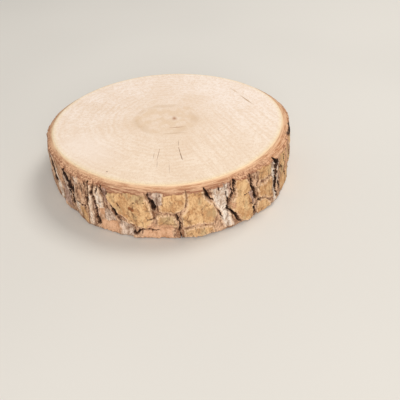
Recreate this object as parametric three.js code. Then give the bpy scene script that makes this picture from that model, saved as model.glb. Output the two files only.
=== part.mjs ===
// A slice of a branch with its bark on: flat sanded end grain above and below, a chamfered rim
// and cracked, scaly bark round the edge. It grew as one piece, so it is one closed body.
// Millimetres, +Z up. The origin is at the middle of the underside, on the surface it rests on.
// Angles are in degrees, anticlockwise from +X; -90 is the side that faces the viewer.

import * as THREE from "three";

// Driving sizes of the slice
const THICKNESS = 19.5;
const WOOD_RADIUS = 42.9;
const BARK_RADIUS = 46;
const BEVEL_SLOPE = 0.62;
const BEVEL_BLEND = 0.4;
const LEAST_BARK = 0.8;

// Slow lobes of the wood's outline: how many round the edge, cosine part, sine part
const WOOD_LOBES = [[2, 0.26, 0], [3, -0.21, 0.4], [4, 0.19, 0.21]];

// Bark thickness round the edge: angle, at the top, at the foot
const BARK_KNOTS = [
  [-180, 2.8, 2.8], [-162, 2.6, 2.8], [-150, 2.6, 2.4], [-138, 3.3, 3.2], [-127, 3.4, 4.5],
  [-116, 3.4, 4.2], [-106, 2.8, 4], [-96, 2.6, 3.6], [-80, 2.7, 4], [-65, 2.4, 4.1],
  [-50, 2.9, 4.5], [-36, 3.8, 4.8], [-24, 3.7, 4.2], [-11, 3.6, 3.4], [10, 3.2, 3.6],
  [40, 3, 3.9], [75, 3.5, 3.2], [110, 2.8, 3.6], [140, 3.4, 4.1], [162, 2.9, 3.2], [180, 2.8, 2.8],
];

// Shallow waves of the bark's surface: height, waves round the edge, turn per mm of height, start
const WAVES = [[0.16, 9, 0.35, 0], [0.12, 17, -0.5, 1], [0.1, 4, 0.9, 2]];

// Cracks on the near side: depth, then points of angle, height and half width
const NEAR_CRACKS = [
  { depth: 2.3, route: [[-163, 17.2, 0.4], [-161, 15.2, 0.8], [-158.9, 12.3, 0.9], [-157, 9.7, 0.9],
    [-155.4, 7.2, 0.4]] },
  { depth: 1.5, route: [[-152.6, 16.6, 0.3], [-150.4, 12, 0.5], [-148, 7.5, 0.3]] },
  { depth: 2.7, route: [[-141, 17.2, 0.8], [-139.2, 15.8, 1], [-138, 13.6, 1.05], [-137.7, 11, 0.9],
    [-138, 9, 0.45]] },
  { depth: 2.1, route: [[-134.6, 12.8, 0.3], [-135.3, 10.2, 0.5], [-136.2, 7.6, 0.75],
    [-136.7, 5.4, 0.5]] },
  { depth: 2.2, route: [[-124.6, 17.6, 0.35], [-124.7, 15.6, 0.7], [-125, 12.8, 0.8], [-125.4, 10.2, 0.75],
    [-125.8, 8.4, 0.35]] },
  { depth: 2.9, route: [[-121.9, 17.6, 0.25], [-122.7, 15.4, 0.35], [-122.4, 12.8, 0.75],
    [-121.4, 10.6, 1.05], [-121.4, 8.4, 0.7], [-121.3, 6.4, 0.6], [-120.5, 4.6, 1.05], [-120.2, 3.2, 1.1],
    [-121.4, 1.9, 0.5]] },
  { depth: 1.2, route: [[-118.2, 18, 0.4], [-117.4, 16.4, 0.5], [-116.8, 14.4, 0.3]] },
  { depth: 2.5, route: [[-114, 12, 0.35], [-113, 11.1, 0.8], [-112, 9.3, 1], [-111, 7.3, 0.9],
    [-110.2, 6, 0.35]] },
  { depth: 1.7, route: [[-104.2, 1.6, 0.3], [-102.4, 2.2, 0.6], [-100.8, 2.9, 0.6], [-98.2, 3.2, 0.7],
    [-94, 3.3, 0.3]] },
  { depth: 2.3, route: [[-97.2, 17.4, 0.35], [-96.4, 15.6, 0.6], [-95.8, 14.2, 0.75], [-95.1, 12.8, 0.9],
    [-94.9, 11.4, 0.35]] },
  { depth: 1.7, route: [[-86.5, 9.5, 0.25], [-85.2, 6, 0.35], [-85.5, 2.5, 0.3], [-84.5, 0, 0.25]] },
  { depth: 2.3, route: [[-74.1, 17.8, 0.5], [-73.7, 16.2, 0.7], [-72.9, 15, 0.45], [-71.7, 13.5, 0.3]] },
  { depth: 1.4, route: [[-65.5, 14.8, 0.3], [-65.1, 12.8, 0.45], [-64.2, 11, 0.6]] },
  { depth: 2.4, route: [[-62.6, 17.8, 0.3], [-62.6, 14.6, 0.35], [-62.8, 12, 0.5], [-64.2, 10.4, 0.8],
    [-65.4, 9, 0.75], [-64.2, 7.3, 0.35], [-62.4, 5.6, 0.35], [-61, 4.2, 0.45], [-60.5, 2.7, 0.5],
    [-59.2, 1.5, 0.35], [-57.6, 0.7, 0.3]] },
  { depth: 1.3, route: [[-61, 17.8, 0.3], [-61.1, 15.6, 0.4], [-61.7, 13, 0.25]] },
  { depth: 2.4, route: [[-52.8, 17.4, 0.3], [-52.2, 15.2, 0.4], [-51.8, 13.2, 0.55], [-51.3, 10.8, 0.8],
    [-50.9, 8.8, 0.95], [-50.2, 7, 0.4]] },
  { depth: 2, route: [[-50.4, 5.2, 0.4], [-51.7, 4.8, 0.6], [-51.6, 3.2, 0.7], [-50.9, 1.8, 0.5],
    [-50, 0.6, 0.35]] },
  { depth: 3.1, route: [[-36.8, 17.5, 0.7], [-36.3, 15.8, 1.2], [-36, 13.6, 1.35], [-36.1, 10.8, 1.3],
    [-36.4, 8.4, 0.8], [-36.6, 5.4, 0.55], [-36.2, 2, 0.3]] },
  { depth: 1.6, route: [[-33.5, 15.4, 0.35], [-32.5, 13.4, 0.6], [-31.5, 10.8, 0.5]] },
  { depth: 1.5, route: [[-33.4, 7.8, 0.35], [-33.2, 6, 0.6], [-32.4, 4, 0.5], [-31.6, 2.2, 0.3]] },
  { depth: 1.9, route: [[-11.2, 17.8, 0.5], [-11.6, 14.6, 0.8], [-12.2, 10.6, 0.8], [-13.4, 6.2, 0.4]] },
];

// Raised plates of bark on the near side: rise, then corners of angle and height
const NEAR_PLATES = [
  { rise: 0.3, corners: [[-134.5, 18.6], [-131.5, 18.6], [-130.5, 9], [-131.5, 1], [-134.5, 5],
    [-133.6, 12]] },
  { rise: 0.35, corners: [[-124.2, 18.4], [-123.2, 18.4], [-123, 9], [-123, 1], [-125.3, 1], [-124.6, 9]] },
  { rise: 0.3, corners: [[-121.5, 16], [-119.6, 17.6], [-118, 13.5], [-117.6, 9.5], [-119.6, 9],
    [-121, 12]] },
  { rise: 0.55, corners: [[-114.8, 17.4], [-112.5, 18.6], [-98.8, 18.6], [-98, 15.8], [-96.4, 13],
    [-95.6, 9.5], [-96.2, 5.6], [-98.2, 3.9], [-103.5, 4.4], [-107.2, 6.8], [-111, 9.8], [-114.6, 12.6]] },
  { rise: -0.5, corners: [[-119, 4.6], [-111.5, 5], [-110.5, 0], [-119.5, 0]] },
  { rise: -0.35, corners: [[-110.4, 6.8], [-107, 5.8], [-103.4, 2.6], [-104.6, 0], [-110, 0]] },
  { rise: 0.5, corners: [[-93.6, 17.6], [-82.6, 18.4], [-81.8, 15], [-83.4, 11.6], [-86.6, 10.4],
    [-92.8, 11]] },
  { rise: 0.45, corners: [[-81.6, 18.4], [-75.4, 18.4], [-74.6, 15.4], [-71, 11.6], [-69.6, 8],
    [-71.2, 4.6], [-77.4, 5.4], [-84.2, 5], [-84.6, 9], [-82.4, 11]] },
  { rise: 0.3, corners: [[-94, 9.6], [-87, 9.4], [-86.6, 4.4], [-94.6, 4.6]] },
  { rise: 0.35, corners: [[-83.6, 3.8], [-77.2, 4.4], [-71.4, 3.6], [-70.5, 0.5], [-83.6, 0]] },
  { rise: 0.45, corners: [[-72.4, 18.6], [-66.6, 18.8], [-65.8, 14], [-64.6, 9.5], [-61.8, 0.6],
    [-66.6, 0.6], [-68.4, 8], [-71.4, 13]] },
  { rise: 0.5, corners: [[-60.8, 18.6], [-55.4, 18.8], [-53.6, 15], [-52, 9], [-51.8, 0.4], [-56.8, 0.4],
    [-59.6, 3], [-63.6, 8.2], [-61.2, 12.4]] },
  { rise: 0.3, corners: [[-50.6, 18.4], [-39.6, 18.6], [-39.4, 12.6], [-44.6, 12.6], [-50, 13]] },
  { rise: 0.5, corners: [[-49.6, 12], [-44.6, 11.8], [-39, 11.4], [-38.8, 3], [-43, 4.2], [-46, 6],
    [-48.8, 6.8]] },
  { rise: 0.35, corners: [[-48.8, 5.8], [-44.6, 4.8], [-41.6, 2.4], [-40.6, 0], [-48.4, 0], [-49.8, 2.4]] },
  { rise: 0.4, corners: [[-39.7, 18], [-38.7, 17.4], [-38.5, 9], [-37.2, 1], [-38.6, 1], [-39.4, 10]] },
];

// The far side follows the same pattern by a rule: long cracks some degrees apart, most of them from
// the rim to the foot, two plates between each pair, and a short crack in each of the wider plates
const FAR_START = -1;
const FAR_END = 189;
const FAR_SEED = 20;
const CRACK_STEP = [4.5, 13];
const CRACK_LEAN = 7;
const CRACK_WANDER = 3;
const CRACK_DEPTH = [1.6, 3];
const CRACK_HALF = [0.35, 0.95];
const CRACK_SWELL = [0.1, 0.9];
const CRACK_POINTS = 7;
const RIM_SHARE = 0.65;
const FOOT_SHARE = 0.55;
const LOWER_TOP = [10, 16];
const HIGHER_FOOT = [3, 8];
const SHORT_CRACK = [2.5, 6];
const SHORT_DEPTH = [1, 1.9];
const SHORT_TOP = [7, 17];
const SHORT_PLACE = [0.35, 0.65];
const PLATE_RISE = [-0.3, 0.6];
const PLATE_GAP = 0.7;
const PLATE_FOOT = 0.2;
const BREAK_HEIGHT = [5, 14];
const BREAK_SLANT = [-3.5, 3.5];
const BREAK_GAP = 0.3;

// The grid that carries the form: columns round the edge, heights of its rows
const COLUMNS = 320;
const ROWS = [0, 0.5, 1.8, 3.4, 5, 6.7, 8.4, 10.1, 11.8, 13.5, 15.1, 16.6, 17.8, 18.8, THICKNESS];
const LEAST_HALF = 0.7;
const CRACK_WALL = [0.4, 1.3];
const CRACK_FADE = [16.9, 18.6];
const PLATE_EDGE = 1.1;
const FOOT_ARRIS = 0.25;
const RIM_DROP = 0.9;

// The seeded draws follow the usual linear rule: multiply, add, keep 32 bits
const DRAW_FACTOR = 1664525;
const DRAW_STEP = 1013904223;
const DRAW_SPAN = 2 ** 32;

const WOOD_COLOR = 0xd9b88c;
const WOOD_ROUGHNESS = 0.85;

const DEGREE = Math.PI / 180;
const MM_PER_DEGREE = BARK_RADIUS * DEGREE;
const TOP_OF_BARK = THICKNESS - RIM_DROP;

// Eases from 0 to 1 as x goes from low to high
function ease(low, high, x) {
  const t = Math.min(1, Math.max(0, (x - low) / (high - low)));
  return t * t * (3 - 2 * t);
}

// Shortest way round from one angle to another
function turn(from, to) {
  return ((to - from + 540) % 360) - 180;
}

// A seeded draw of numbers from 0 to 1
function draws(seed) {
  let state = seed;
  return () => {
    state = (Math.imul(state, DRAW_FACTOR) + DRAW_STEP) >>> 0;
    return state / DRAW_SPAN;
  };
}

function between(range, share) {
  return range[0] + (range[1] - range[0]) * share;
}

// The wood's outline, without the bark
function woodRadius(angle) {
  return WOOD_LOBES.reduce(
    (radius, [count, cosine, sine]) =>
      radius + cosine * Math.cos(count * angle * DEGREE) + sine * Math.sin(count * angle * DEGREE),
    WOOD_RADIUS,
  );
}

// Bark thickness eased between the knots round the edge and straight from foot to top
function barkThickness(angle, height) {
  const next = BARK_KNOTS.findIndex((knot) => knot[0] > angle);
  const [before, after] = [BARK_KNOTS[next - 1], BARK_KNOTS[next]];
  const share = ease(before[0], after[0], angle);
  const top = between([before[1], after[1]], share);
  const foot = between([before[2], after[2]], share);
  return between([foot, top], height / THICKNESS);
}

// A crack that wanders down from one place, widest in the middle
function wanderingCrack(random, angle, lean, top, foot, depth) {
  const route = [];
  let side = angle - lean / 2;
  for (let step = 0; step < CRACK_POINTS; step += 1) {
    const share = step / (CRACK_POINTS - 1);
    const swell = Math.sin(Math.PI * between(CRACK_SWELL, share));
    route.push([side, between([top, foot], share), between(CRACK_HALF, swell * random())]);
    side += lean / (CRACK_POINTS - 1) + CRACK_WANDER * (random() - 0.5);
  }
  return { depth, route };
}

// Long cracks of the far side, from the rim down, some of them stopping short
function farCracks(random) {
  const cracks = [];
  for (let angle = FAR_START; angle < FAR_END; angle += between(CRACK_STEP, random())) {
    const lean = CRACK_LEAN * (random() - 0.5);
    const top = random() < RIM_SHARE ? TOP_OF_BARK : between(LOWER_TOP, random());
    const foot = random() < FOOT_SHARE ? 0 : between(HIGHER_FOOT, random());
    cracks.push(wanderingCrack(random, angle, lean, top, foot, between(CRACK_DEPTH, random())));
  }
  return cracks;
}

// Short slanting cracks in the wider plates between the long ones
function shortCracks(random, cracks) {
  return cracks.slice(1).flatMap(({ route }, index) => {
    const gap = route[0][0] - cracks[index].route[0][0];
    const angle = route[0][0] - gap * between(SHORT_PLACE, random());
    const top = between(SHORT_TOP, random());
    const foot = top - between(SHORT_CRACK, random());
    const lean = 2 * CRACK_LEAN * (random() - 0.5);
    const depth = between(SHORT_DEPTH, random());
    return gap > CRACK_STEP[1] / 2 ? [wanderingCrack(random, angle, lean, top, foot, depth)] : [];
  });
}

// Plates between neighbouring far cracks, each strip broken in two by a slanting line
function farPlates(random, cracks) {
  const plates = [];
  for (let index = 0; index + 1 < cracks.length; index += 1) {
    const left = cracks[index].route;
    const right = cracks[index + 1].route;
    const [leftTop, leftFoot] = [left[0][0] + PLATE_GAP, left[CRACK_POINTS - 1][0] + PLATE_GAP];
    const [rightTop, rightFoot] = [right[0][0] - PLATE_GAP, right[CRACK_POINTS - 1][0] - PLATE_GAP];
    const leftBreak = between(BREAK_HEIGHT, random());
    const rightBreak = leftBreak + between(BREAK_SLANT, random());
    const leftMiddle = between([leftFoot, leftTop], leftBreak / TOP_OF_BARK);
    const rightMiddle = between([rightFoot, rightTop], rightBreak / TOP_OF_BARK);
    plates.push({
      rise: between(PLATE_RISE, random()),
      corners: [[leftTop, TOP_OF_BARK], [rightTop, TOP_OF_BARK],
        [rightMiddle, rightBreak + BREAK_GAP], [leftMiddle, leftBreak + BREAK_GAP]],
    });
    plates.push({
      rise: between(PLATE_RISE, random()),
      corners: [[leftMiddle, leftBreak - BREAK_GAP], [rightMiddle, rightBreak - BREAK_GAP],
        [rightFoot, PLATE_FOOT], [leftFoot, PLATE_FOOT]],
    });
  }
  return plates;
}

const farDraw = draws(FAR_SEED);
const LONG_CRACKS = farCracks(farDraw);
const PLATES = [...NEAR_PLATES, ...farPlates(farDraw, LONG_CRACKS)];
const CRACKS = [...NEAR_CRACKS, ...LONG_CRACKS, ...shortCracks(farDraw, LONG_CRACKS)];

// How far a point lies along and off the line between two others, in mm
function offLine(angle, height, start, end) {
  const x = turn(start[0], angle) * MM_PER_DEGREE;
  const y = height - start[1];
  const dx = turn(start[0], end[0]) * MM_PER_DEGREE;
  const dy = end[1] - start[1];
  const along = Math.min(1, Math.max(0, (x * dx + y * dy) / (dx * dx + dy * dy)));
  return { along, away: Math.hypot(x - along * dx, y - along * dy) };
}

// Deepest cut of any crack at a place: full in the middle, eased out to its edges and towards the rim
function crackCut(angle, height) {
  let cut = 0;
  for (const { depth, route } of CRACKS) {
    for (let index = 0; index + 1 < route.length; index += 1) {
      const { along, away } = offLine(angle, height, route[index], route[index + 1]);
      const half = Math.max(LEAST_HALF, between([route[index][2], route[index + 1][2]], along));
      cut = Math.max(cut, depth * (1 - ease(CRACK_WALL[0] * half, CRACK_WALL[1] * half, away)));
    }
  }
  return cut * (1 - ease(CRACK_FADE[0], CRACK_FADE[1], height));
}

// Whether a place lies within a plate: a level line from it crosses the outline an odd number of times
function within(corners, angle, height) {
  return corners.reduce((inside, corner, index) => {
    const next = corners[(index + 1) % corners.length];
    if (corner[1] > height === next[1] > height) return inside;
    const share = (height - corner[1]) / (next[1] - corner[1]);
    const crossing = between([turn(angle, corner[0]), turn(angle, next[0])], share);
    return crossing > 0 ? !inside : inside;
  }, false);
}

// Sum of the plates' rises at a place, eased over their edges
function plateRise(angle, height) {
  return PLATES.reduce((total, { rise, corners }) => {
    const nearest = corners.reduce((least, corner, index) => {
      const next = corners[(index + 1) % corners.length];
      return Math.min(least, offLine(angle, height, corner, next).away);
    }, Infinity);
    const depth = within(corners, angle, height) ? nearest : -nearest;
    return total + rise * ease(-PLATE_EDGE / 2, PLATE_EDGE / 2, depth);
  }, 0);
}

// The slice's edge: the bark, cut off at the top by the chamfer that runs out and down from the wood
function edgeRadius(angle, height) {
  const wood = woodRadius(angle);
  const waves = WAVES.reduce(
    (sum, [size, count, climb, start]) =>
      sum + size * Math.sin(count * angle * DEGREE + climb * height + start),
    0,
  );
  const relief = barkThickness(angle, height) + waves + plateRise(angle, height) - crackCut(angle, height);
  const arris = FOOT_ARRIS * (1 - ease(0, ROWS[1], height));
  const bark = wood + Math.max(LEAST_BARK, relief) - arris;
  const chamfer = wood + (THICKNESS - height) / BEVEL_SLOPE;
  const blend = Math.max(0, BEVEL_BLEND - Math.abs(bark - chamfer)) / BEVEL_BLEND;
  return Math.min(bark, chamfer) - (blend * blend * BEVEL_BLEND * Math.min(1, chamfer - wood)) / 4;
}

// The closed skin: rings of points up the edge, a fan over the face and one under the foot
function sliceGeometry() {
  const points = [];
  const faces = [];
  for (const height of ROWS) {
    for (let column = 0; column < COLUMNS; column += 1) {
      const angle = (360 * column) / COLUMNS - 180;
      const radius = edgeRadius(angle, height);
      points.push(radius * Math.cos(angle * DEGREE), radius * Math.sin(angle * DEGREE), height);
    }
  }
  const foot = points.length / 3;
  points.push(0, 0, 0, 0, 0, THICKNESS);
  const lastRing = (ROWS.length - 1) * COLUMNS;
  for (let column = 0; column < COLUMNS; column += 1) {
    const next = (column + 1) % COLUMNS;
    for (let ring = 0; ring < lastRing; ring += COLUMNS) {
      const [low, lowNext] = [ring + column, ring + next];
      const [high, highNext] = [low + COLUMNS, lowNext + COLUMNS];
      faces.push(low, lowNext, highNext, low, highNext, high);
    }
    faces.push(foot, next, column);
    faces.push(foot + 1, lastRing + column, lastRing + next);
  }
  const geometry = new THREE.BufferGeometry();
  geometry.setAttribute("position", new THREE.Float32BufferAttribute(points, 3));
  geometry.setIndex(faces);
  geometry.computeBoundingBox();
  const middle = geometry.boundingBox.getCenter(new THREE.Vector3());
  geometry.translate(-middle.x, -middle.y, 0);
  geometry.computeVertexNormals();
  return geometry;
}

const slice = new THREE.Mesh(
  sliceGeometry(),
  new THREE.MeshStandardMaterial({ color: WOOD_COLOR, roughness: WOOD_ROUGHNESS, metalness: 0 }),
);
slice.name = "wood_slice";

const woodSlice = new THREE.Group();
woodSlice.add(slice);

export default woodSlice;
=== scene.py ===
"""A slice of a branch with its bark on, finished for a close view.

The slice is one grown thing. It is drawn here as two skins that meet at the wood's edge: the sawn wood,
with its growth rings and drying checks, and the bark, with its chamfered rim, scaly plates and cracks.
Both follow the same formulas as the solid that they stand for, on a finer grid. Lengths are millimetres
and angles degrees, anticlockwise from +X, until a mesh or the camera is placed, which is in metres.
"""

import logging
import math
from dataclasses import dataclass, field
from enum import Enum
from typing import Callable, Iterator, Sequence

import bpy
import numpy as np
from mathutils import Matrix, Vector


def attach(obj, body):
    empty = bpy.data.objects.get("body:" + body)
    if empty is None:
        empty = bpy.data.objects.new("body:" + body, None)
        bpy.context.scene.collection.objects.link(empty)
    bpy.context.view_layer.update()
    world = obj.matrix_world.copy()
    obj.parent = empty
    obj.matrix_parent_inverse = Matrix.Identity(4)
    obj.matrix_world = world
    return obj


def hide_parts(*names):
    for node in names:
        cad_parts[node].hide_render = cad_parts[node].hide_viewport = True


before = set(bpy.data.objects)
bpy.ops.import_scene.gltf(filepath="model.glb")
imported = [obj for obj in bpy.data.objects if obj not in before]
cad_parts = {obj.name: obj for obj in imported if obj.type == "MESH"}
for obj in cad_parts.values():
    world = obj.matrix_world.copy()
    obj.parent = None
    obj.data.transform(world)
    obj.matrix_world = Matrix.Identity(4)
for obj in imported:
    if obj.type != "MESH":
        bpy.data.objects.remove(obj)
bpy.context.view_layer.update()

LOG = logging.getLogger("wood_slice")
MM = 0.001
# Round the bark, for the cells of its noise
GIRTH = 289.0
MULTIPLIER, INCREMENT, MODULUS = 1664525, 1013904223, 2 ** 32
NODE = "wood_slice"

Array = np.ndarray
Socket = bpy.types.NodeSocket
Colour = tuple[float, float, float]
Pair = tuple[float, float]
Triple = tuple[float, float, float]
Draw = Callable[[], float]
Number = Socket | float
Tint = Socket | Colour


class BarkKind(Enum):
    """What a patch of bark is made of, which sets its colour and its grain."""

    BROWN = "brown"
    OCHRE = "ochre"
    LICHEN = "lichen"
    PEACH = "peach"
    MAUVE = "mauve"
    GREY = "grey"


@dataclass(frozen=True)
class Crack:
    """A crack in the bark: how deep, and points of angle, height and half width down its route.

    Its dark is how far up its walls the painted black shade reaches, in half widths.
    """

    depth: float
    route: tuple[Triple, ...]
    dark: float = 0.8


@dataclass(frozen=True)
class Plate:
    """A patch of bark: how far it stands out, what it is made of, and its corners of angle and height."""

    rise: float
    kind: BarkKind
    corners: tuple[Pair, ...]


def ease(low: float | Array, high: float | Array, x: Array) -> Array:
    """Goes smoothly from 0 at low to 1 at high: 3t^2 - 2t^3 of the clipped share t.

    Args:
        low: where the result is still 0.
        high: where it has reached 1.
        x: the values to ease.

    Returns:
        The eased share of each value.
    """
    t = np.clip((x - low) / (high - low), 0.0, 1.0)
    return t * t * (3.0 - 2.0 * t)


def hump(x: Array, low: float, high: float, fall: float, end: float) -> Array:
    """Returns the ease from low to high, which is eased back to 0 from fall to end."""
    return ease(low, high, x) * (1 - ease(fall, end, x))


def turn(start: float | Array, end: float | Array) -> float | Array:
    """Returns the shortest way round from one angle to another."""
    return (end - start + 540.0) % 360.0 - 180.0


def between(low: float, high: float, share: float | Array) -> float | Array:
    """Returns the value that lies that share of the way from low to high."""
    return low + (high - low) * share


def all_round(count: int) -> Array:
    """Returns that many angles, evenly spread all round from -180 degrees."""
    return np.arange(count) * 360 / count - 180


def polar(radius: float | Array, angle: float | Array) -> tuple[Array, Array]:
    """Returns the x and the y of places at a radius and an angle."""
    turned = np.radians(angle)
    return radius * np.cos(turned), radius * np.sin(turned)


def off_line(x: Array, y: Array, dx: float, dy: float) -> tuple[Array, Array]:
    """Finds how far places lie along and off a line.

    Args:
        x: how far across each place is from the line's start.
        y: how far up it is from there.
        dx: how far across the line runs.
        dy: how far up it runs.

    Returns:
        The share along the line, from 0 to 1, and the distance off it.
    """
    along = np.clip((x * dx + y * dy) / (dx * dx + dy * dy), 0.0, 1.0)
    return along, np.hypot(x - along * dx, y - along * dy)


def draws(seed: int) -> Draw:
    """Makes a seeded draw of numbers from 0 to 1 by a linear congruence, the same one as the solid's.

    Args:
        seed: the first state.

    Returns:
        A function that gives the next number each time.
    """
    state = seed

    def draw() -> float:
        """Returns the next number."""
        nonlocal state
        state = (state * MULTIPLIER + INCREMENT) % MODULUS
        return state / MODULUS

    return draw


BROWN, OCHRE, LICHEN = BarkKind.BROWN, BarkKind.OCHRE, BarkKind.LICHEN
PEACH, MAUVE, GREY = BarkKind.PEACH, BarkKind.MAUVE, BarkKind.GREY

NEAR_CRACKS = (
    Crack(2.3, ((-163, 17.2, 0.4), (-161, 15.2, 0.8), (-158.9, 12.3, 0.9), (-157, 9.7, 0.9),
                (-155.4, 7.2, 0.4)), 1.3),
    Crack(1.5, ((-152.6, 16.6, 0.3), (-150.4, 12, 0.5), (-148, 7.5, 0.3))),
    Crack(2.7, ((-141, 17.2, 0.8), (-139.2, 15.8, 1), (-138, 13.6, 1.05), (-137.7, 11, 0.9),
                (-138, 9, 0.45)), 1.25),
    Crack(2.1, ((-134.6, 12.8, 0.3), (-135.3, 10.2, 0.5), (-136.2, 7.6, 0.75), (-136.7, 5.4, 0.5)), 1.25),
    Crack(2.2, ((-124.6, 17.6, 0.35), (-124.7, 15.6, 0.7), (-125, 12.8, 0.8), (-125.4, 10.2, 0.75),
                (-125.8, 8.4, 0.35))),
    Crack(2.9, ((-121.9, 17.6, 0.25), (-122.7, 15.4, 0.35), (-122.4, 12.8, 0.75), (-121.4, 10.6, 1.05),
                (-121.4, 8.4, 0.7), (-121.3, 6.4, 0.6), (-120.5, 4.6, 1.05), (-120.2, 3.2, 1.1),
                (-121.4, 1.9, 0.5))),
    Crack(1.2, ((-118.2, 18, 0.4), (-117.4, 16.4, 0.5), (-116.8, 14.4, 0.3))),
    Crack(2.5, ((-114, 12, 0.35), (-113, 11.1, 0.8), (-112, 9.3, 1), (-111, 7.3, 0.9), (-110.2, 6, 0.35))),
    Crack(1.7, ((-104.2, 1.6, 0.3), (-102.4, 2.2, 0.6), (-100.8, 2.9, 0.6), (-98.2, 3.2, 0.7),
                (-94, 3.3, 0.3)), 0.6),
    Crack(2.3, ((-97.2, 17.4, 0.35), (-96.4, 15.6, 0.6), (-95.8, 14.2, 0.75), (-95.1, 12.8, 0.9),
                (-94.9, 11.4, 0.35))),
    Crack(1.7, ((-86.5, 9.5, 0.25), (-85.2, 6, 0.35), (-85.5, 2.5, 0.3), (-84.5, 0, 0.25))),
    Crack(2.3, ((-74.1, 17.8, 0.5), (-73.7, 16.2, 0.7), (-72.9, 15, 0.45), (-71.7, 13.5, 0.3))),
    Crack(1.4, ((-65.5, 14.8, 0.3), (-65.1, 12.8, 0.45), (-64.2, 11, 0.6))),
    Crack(2.4, ((-62.6, 17.8, 0.3), (-62.6, 14.6, 0.35), (-62.8, 12, 0.5), (-64.2, 10.4, 0.8),
                (-65.4, 9, 0.75), (-64.2, 7.3, 0.35), (-62.4, 5.6, 0.35), (-61, 4.2, 0.45),
                (-60.5, 2.7, 0.5), (-59.2, 1.5, 0.35), (-57.6, 0.7, 0.3))),
    Crack(1.3, ((-61, 17.8, 0.3), (-61.1, 15.6, 0.4), (-61.7, 13, 0.25))),
    Crack(2.4, ((-52.8, 17.4, 0.3), (-52.2, 15.2, 0.4), (-51.8, 13.2, 0.55), (-51.3, 10.8, 0.8),
                (-50.9, 8.8, 0.95), (-50.2, 7, 0.4))),
    Crack(2, ((-50.4, 5.2, 0.4), (-51.7, 4.8, 0.6), (-51.6, 3.2, 0.7), (-50.9, 1.8, 0.5),
              (-50, 0.6, 0.35))),
    Crack(3.1, ((-36.8, 17.5, 0.7), (-36.3, 15.8, 1.2), (-36, 13.6, 1.35), (-36.1, 10.8, 1.3),
                (-36.4, 8.4, 0.8), (-36.6, 5.4, 0.55), (-36.2, 2, 0.3)), 1.05),
    Crack(1.6, ((-33.5, 15.4, 0.35), (-32.5, 13.4, 0.6), (-31.5, 10.8, 0.5))),
    Crack(1.5, ((-33.4, 7.8, 0.35), (-33.2, 6, 0.6), (-32.4, 4, 0.5), (-31.6, 2.2, 0.3))),
    Crack(1.9, ((-11.2, 17.8, 0.5), (-11.6, 14.6, 0.8), (-12.2, 10.6, 0.8), (-13.4, 6.2, 0.4)), 1.1),
)

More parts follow.
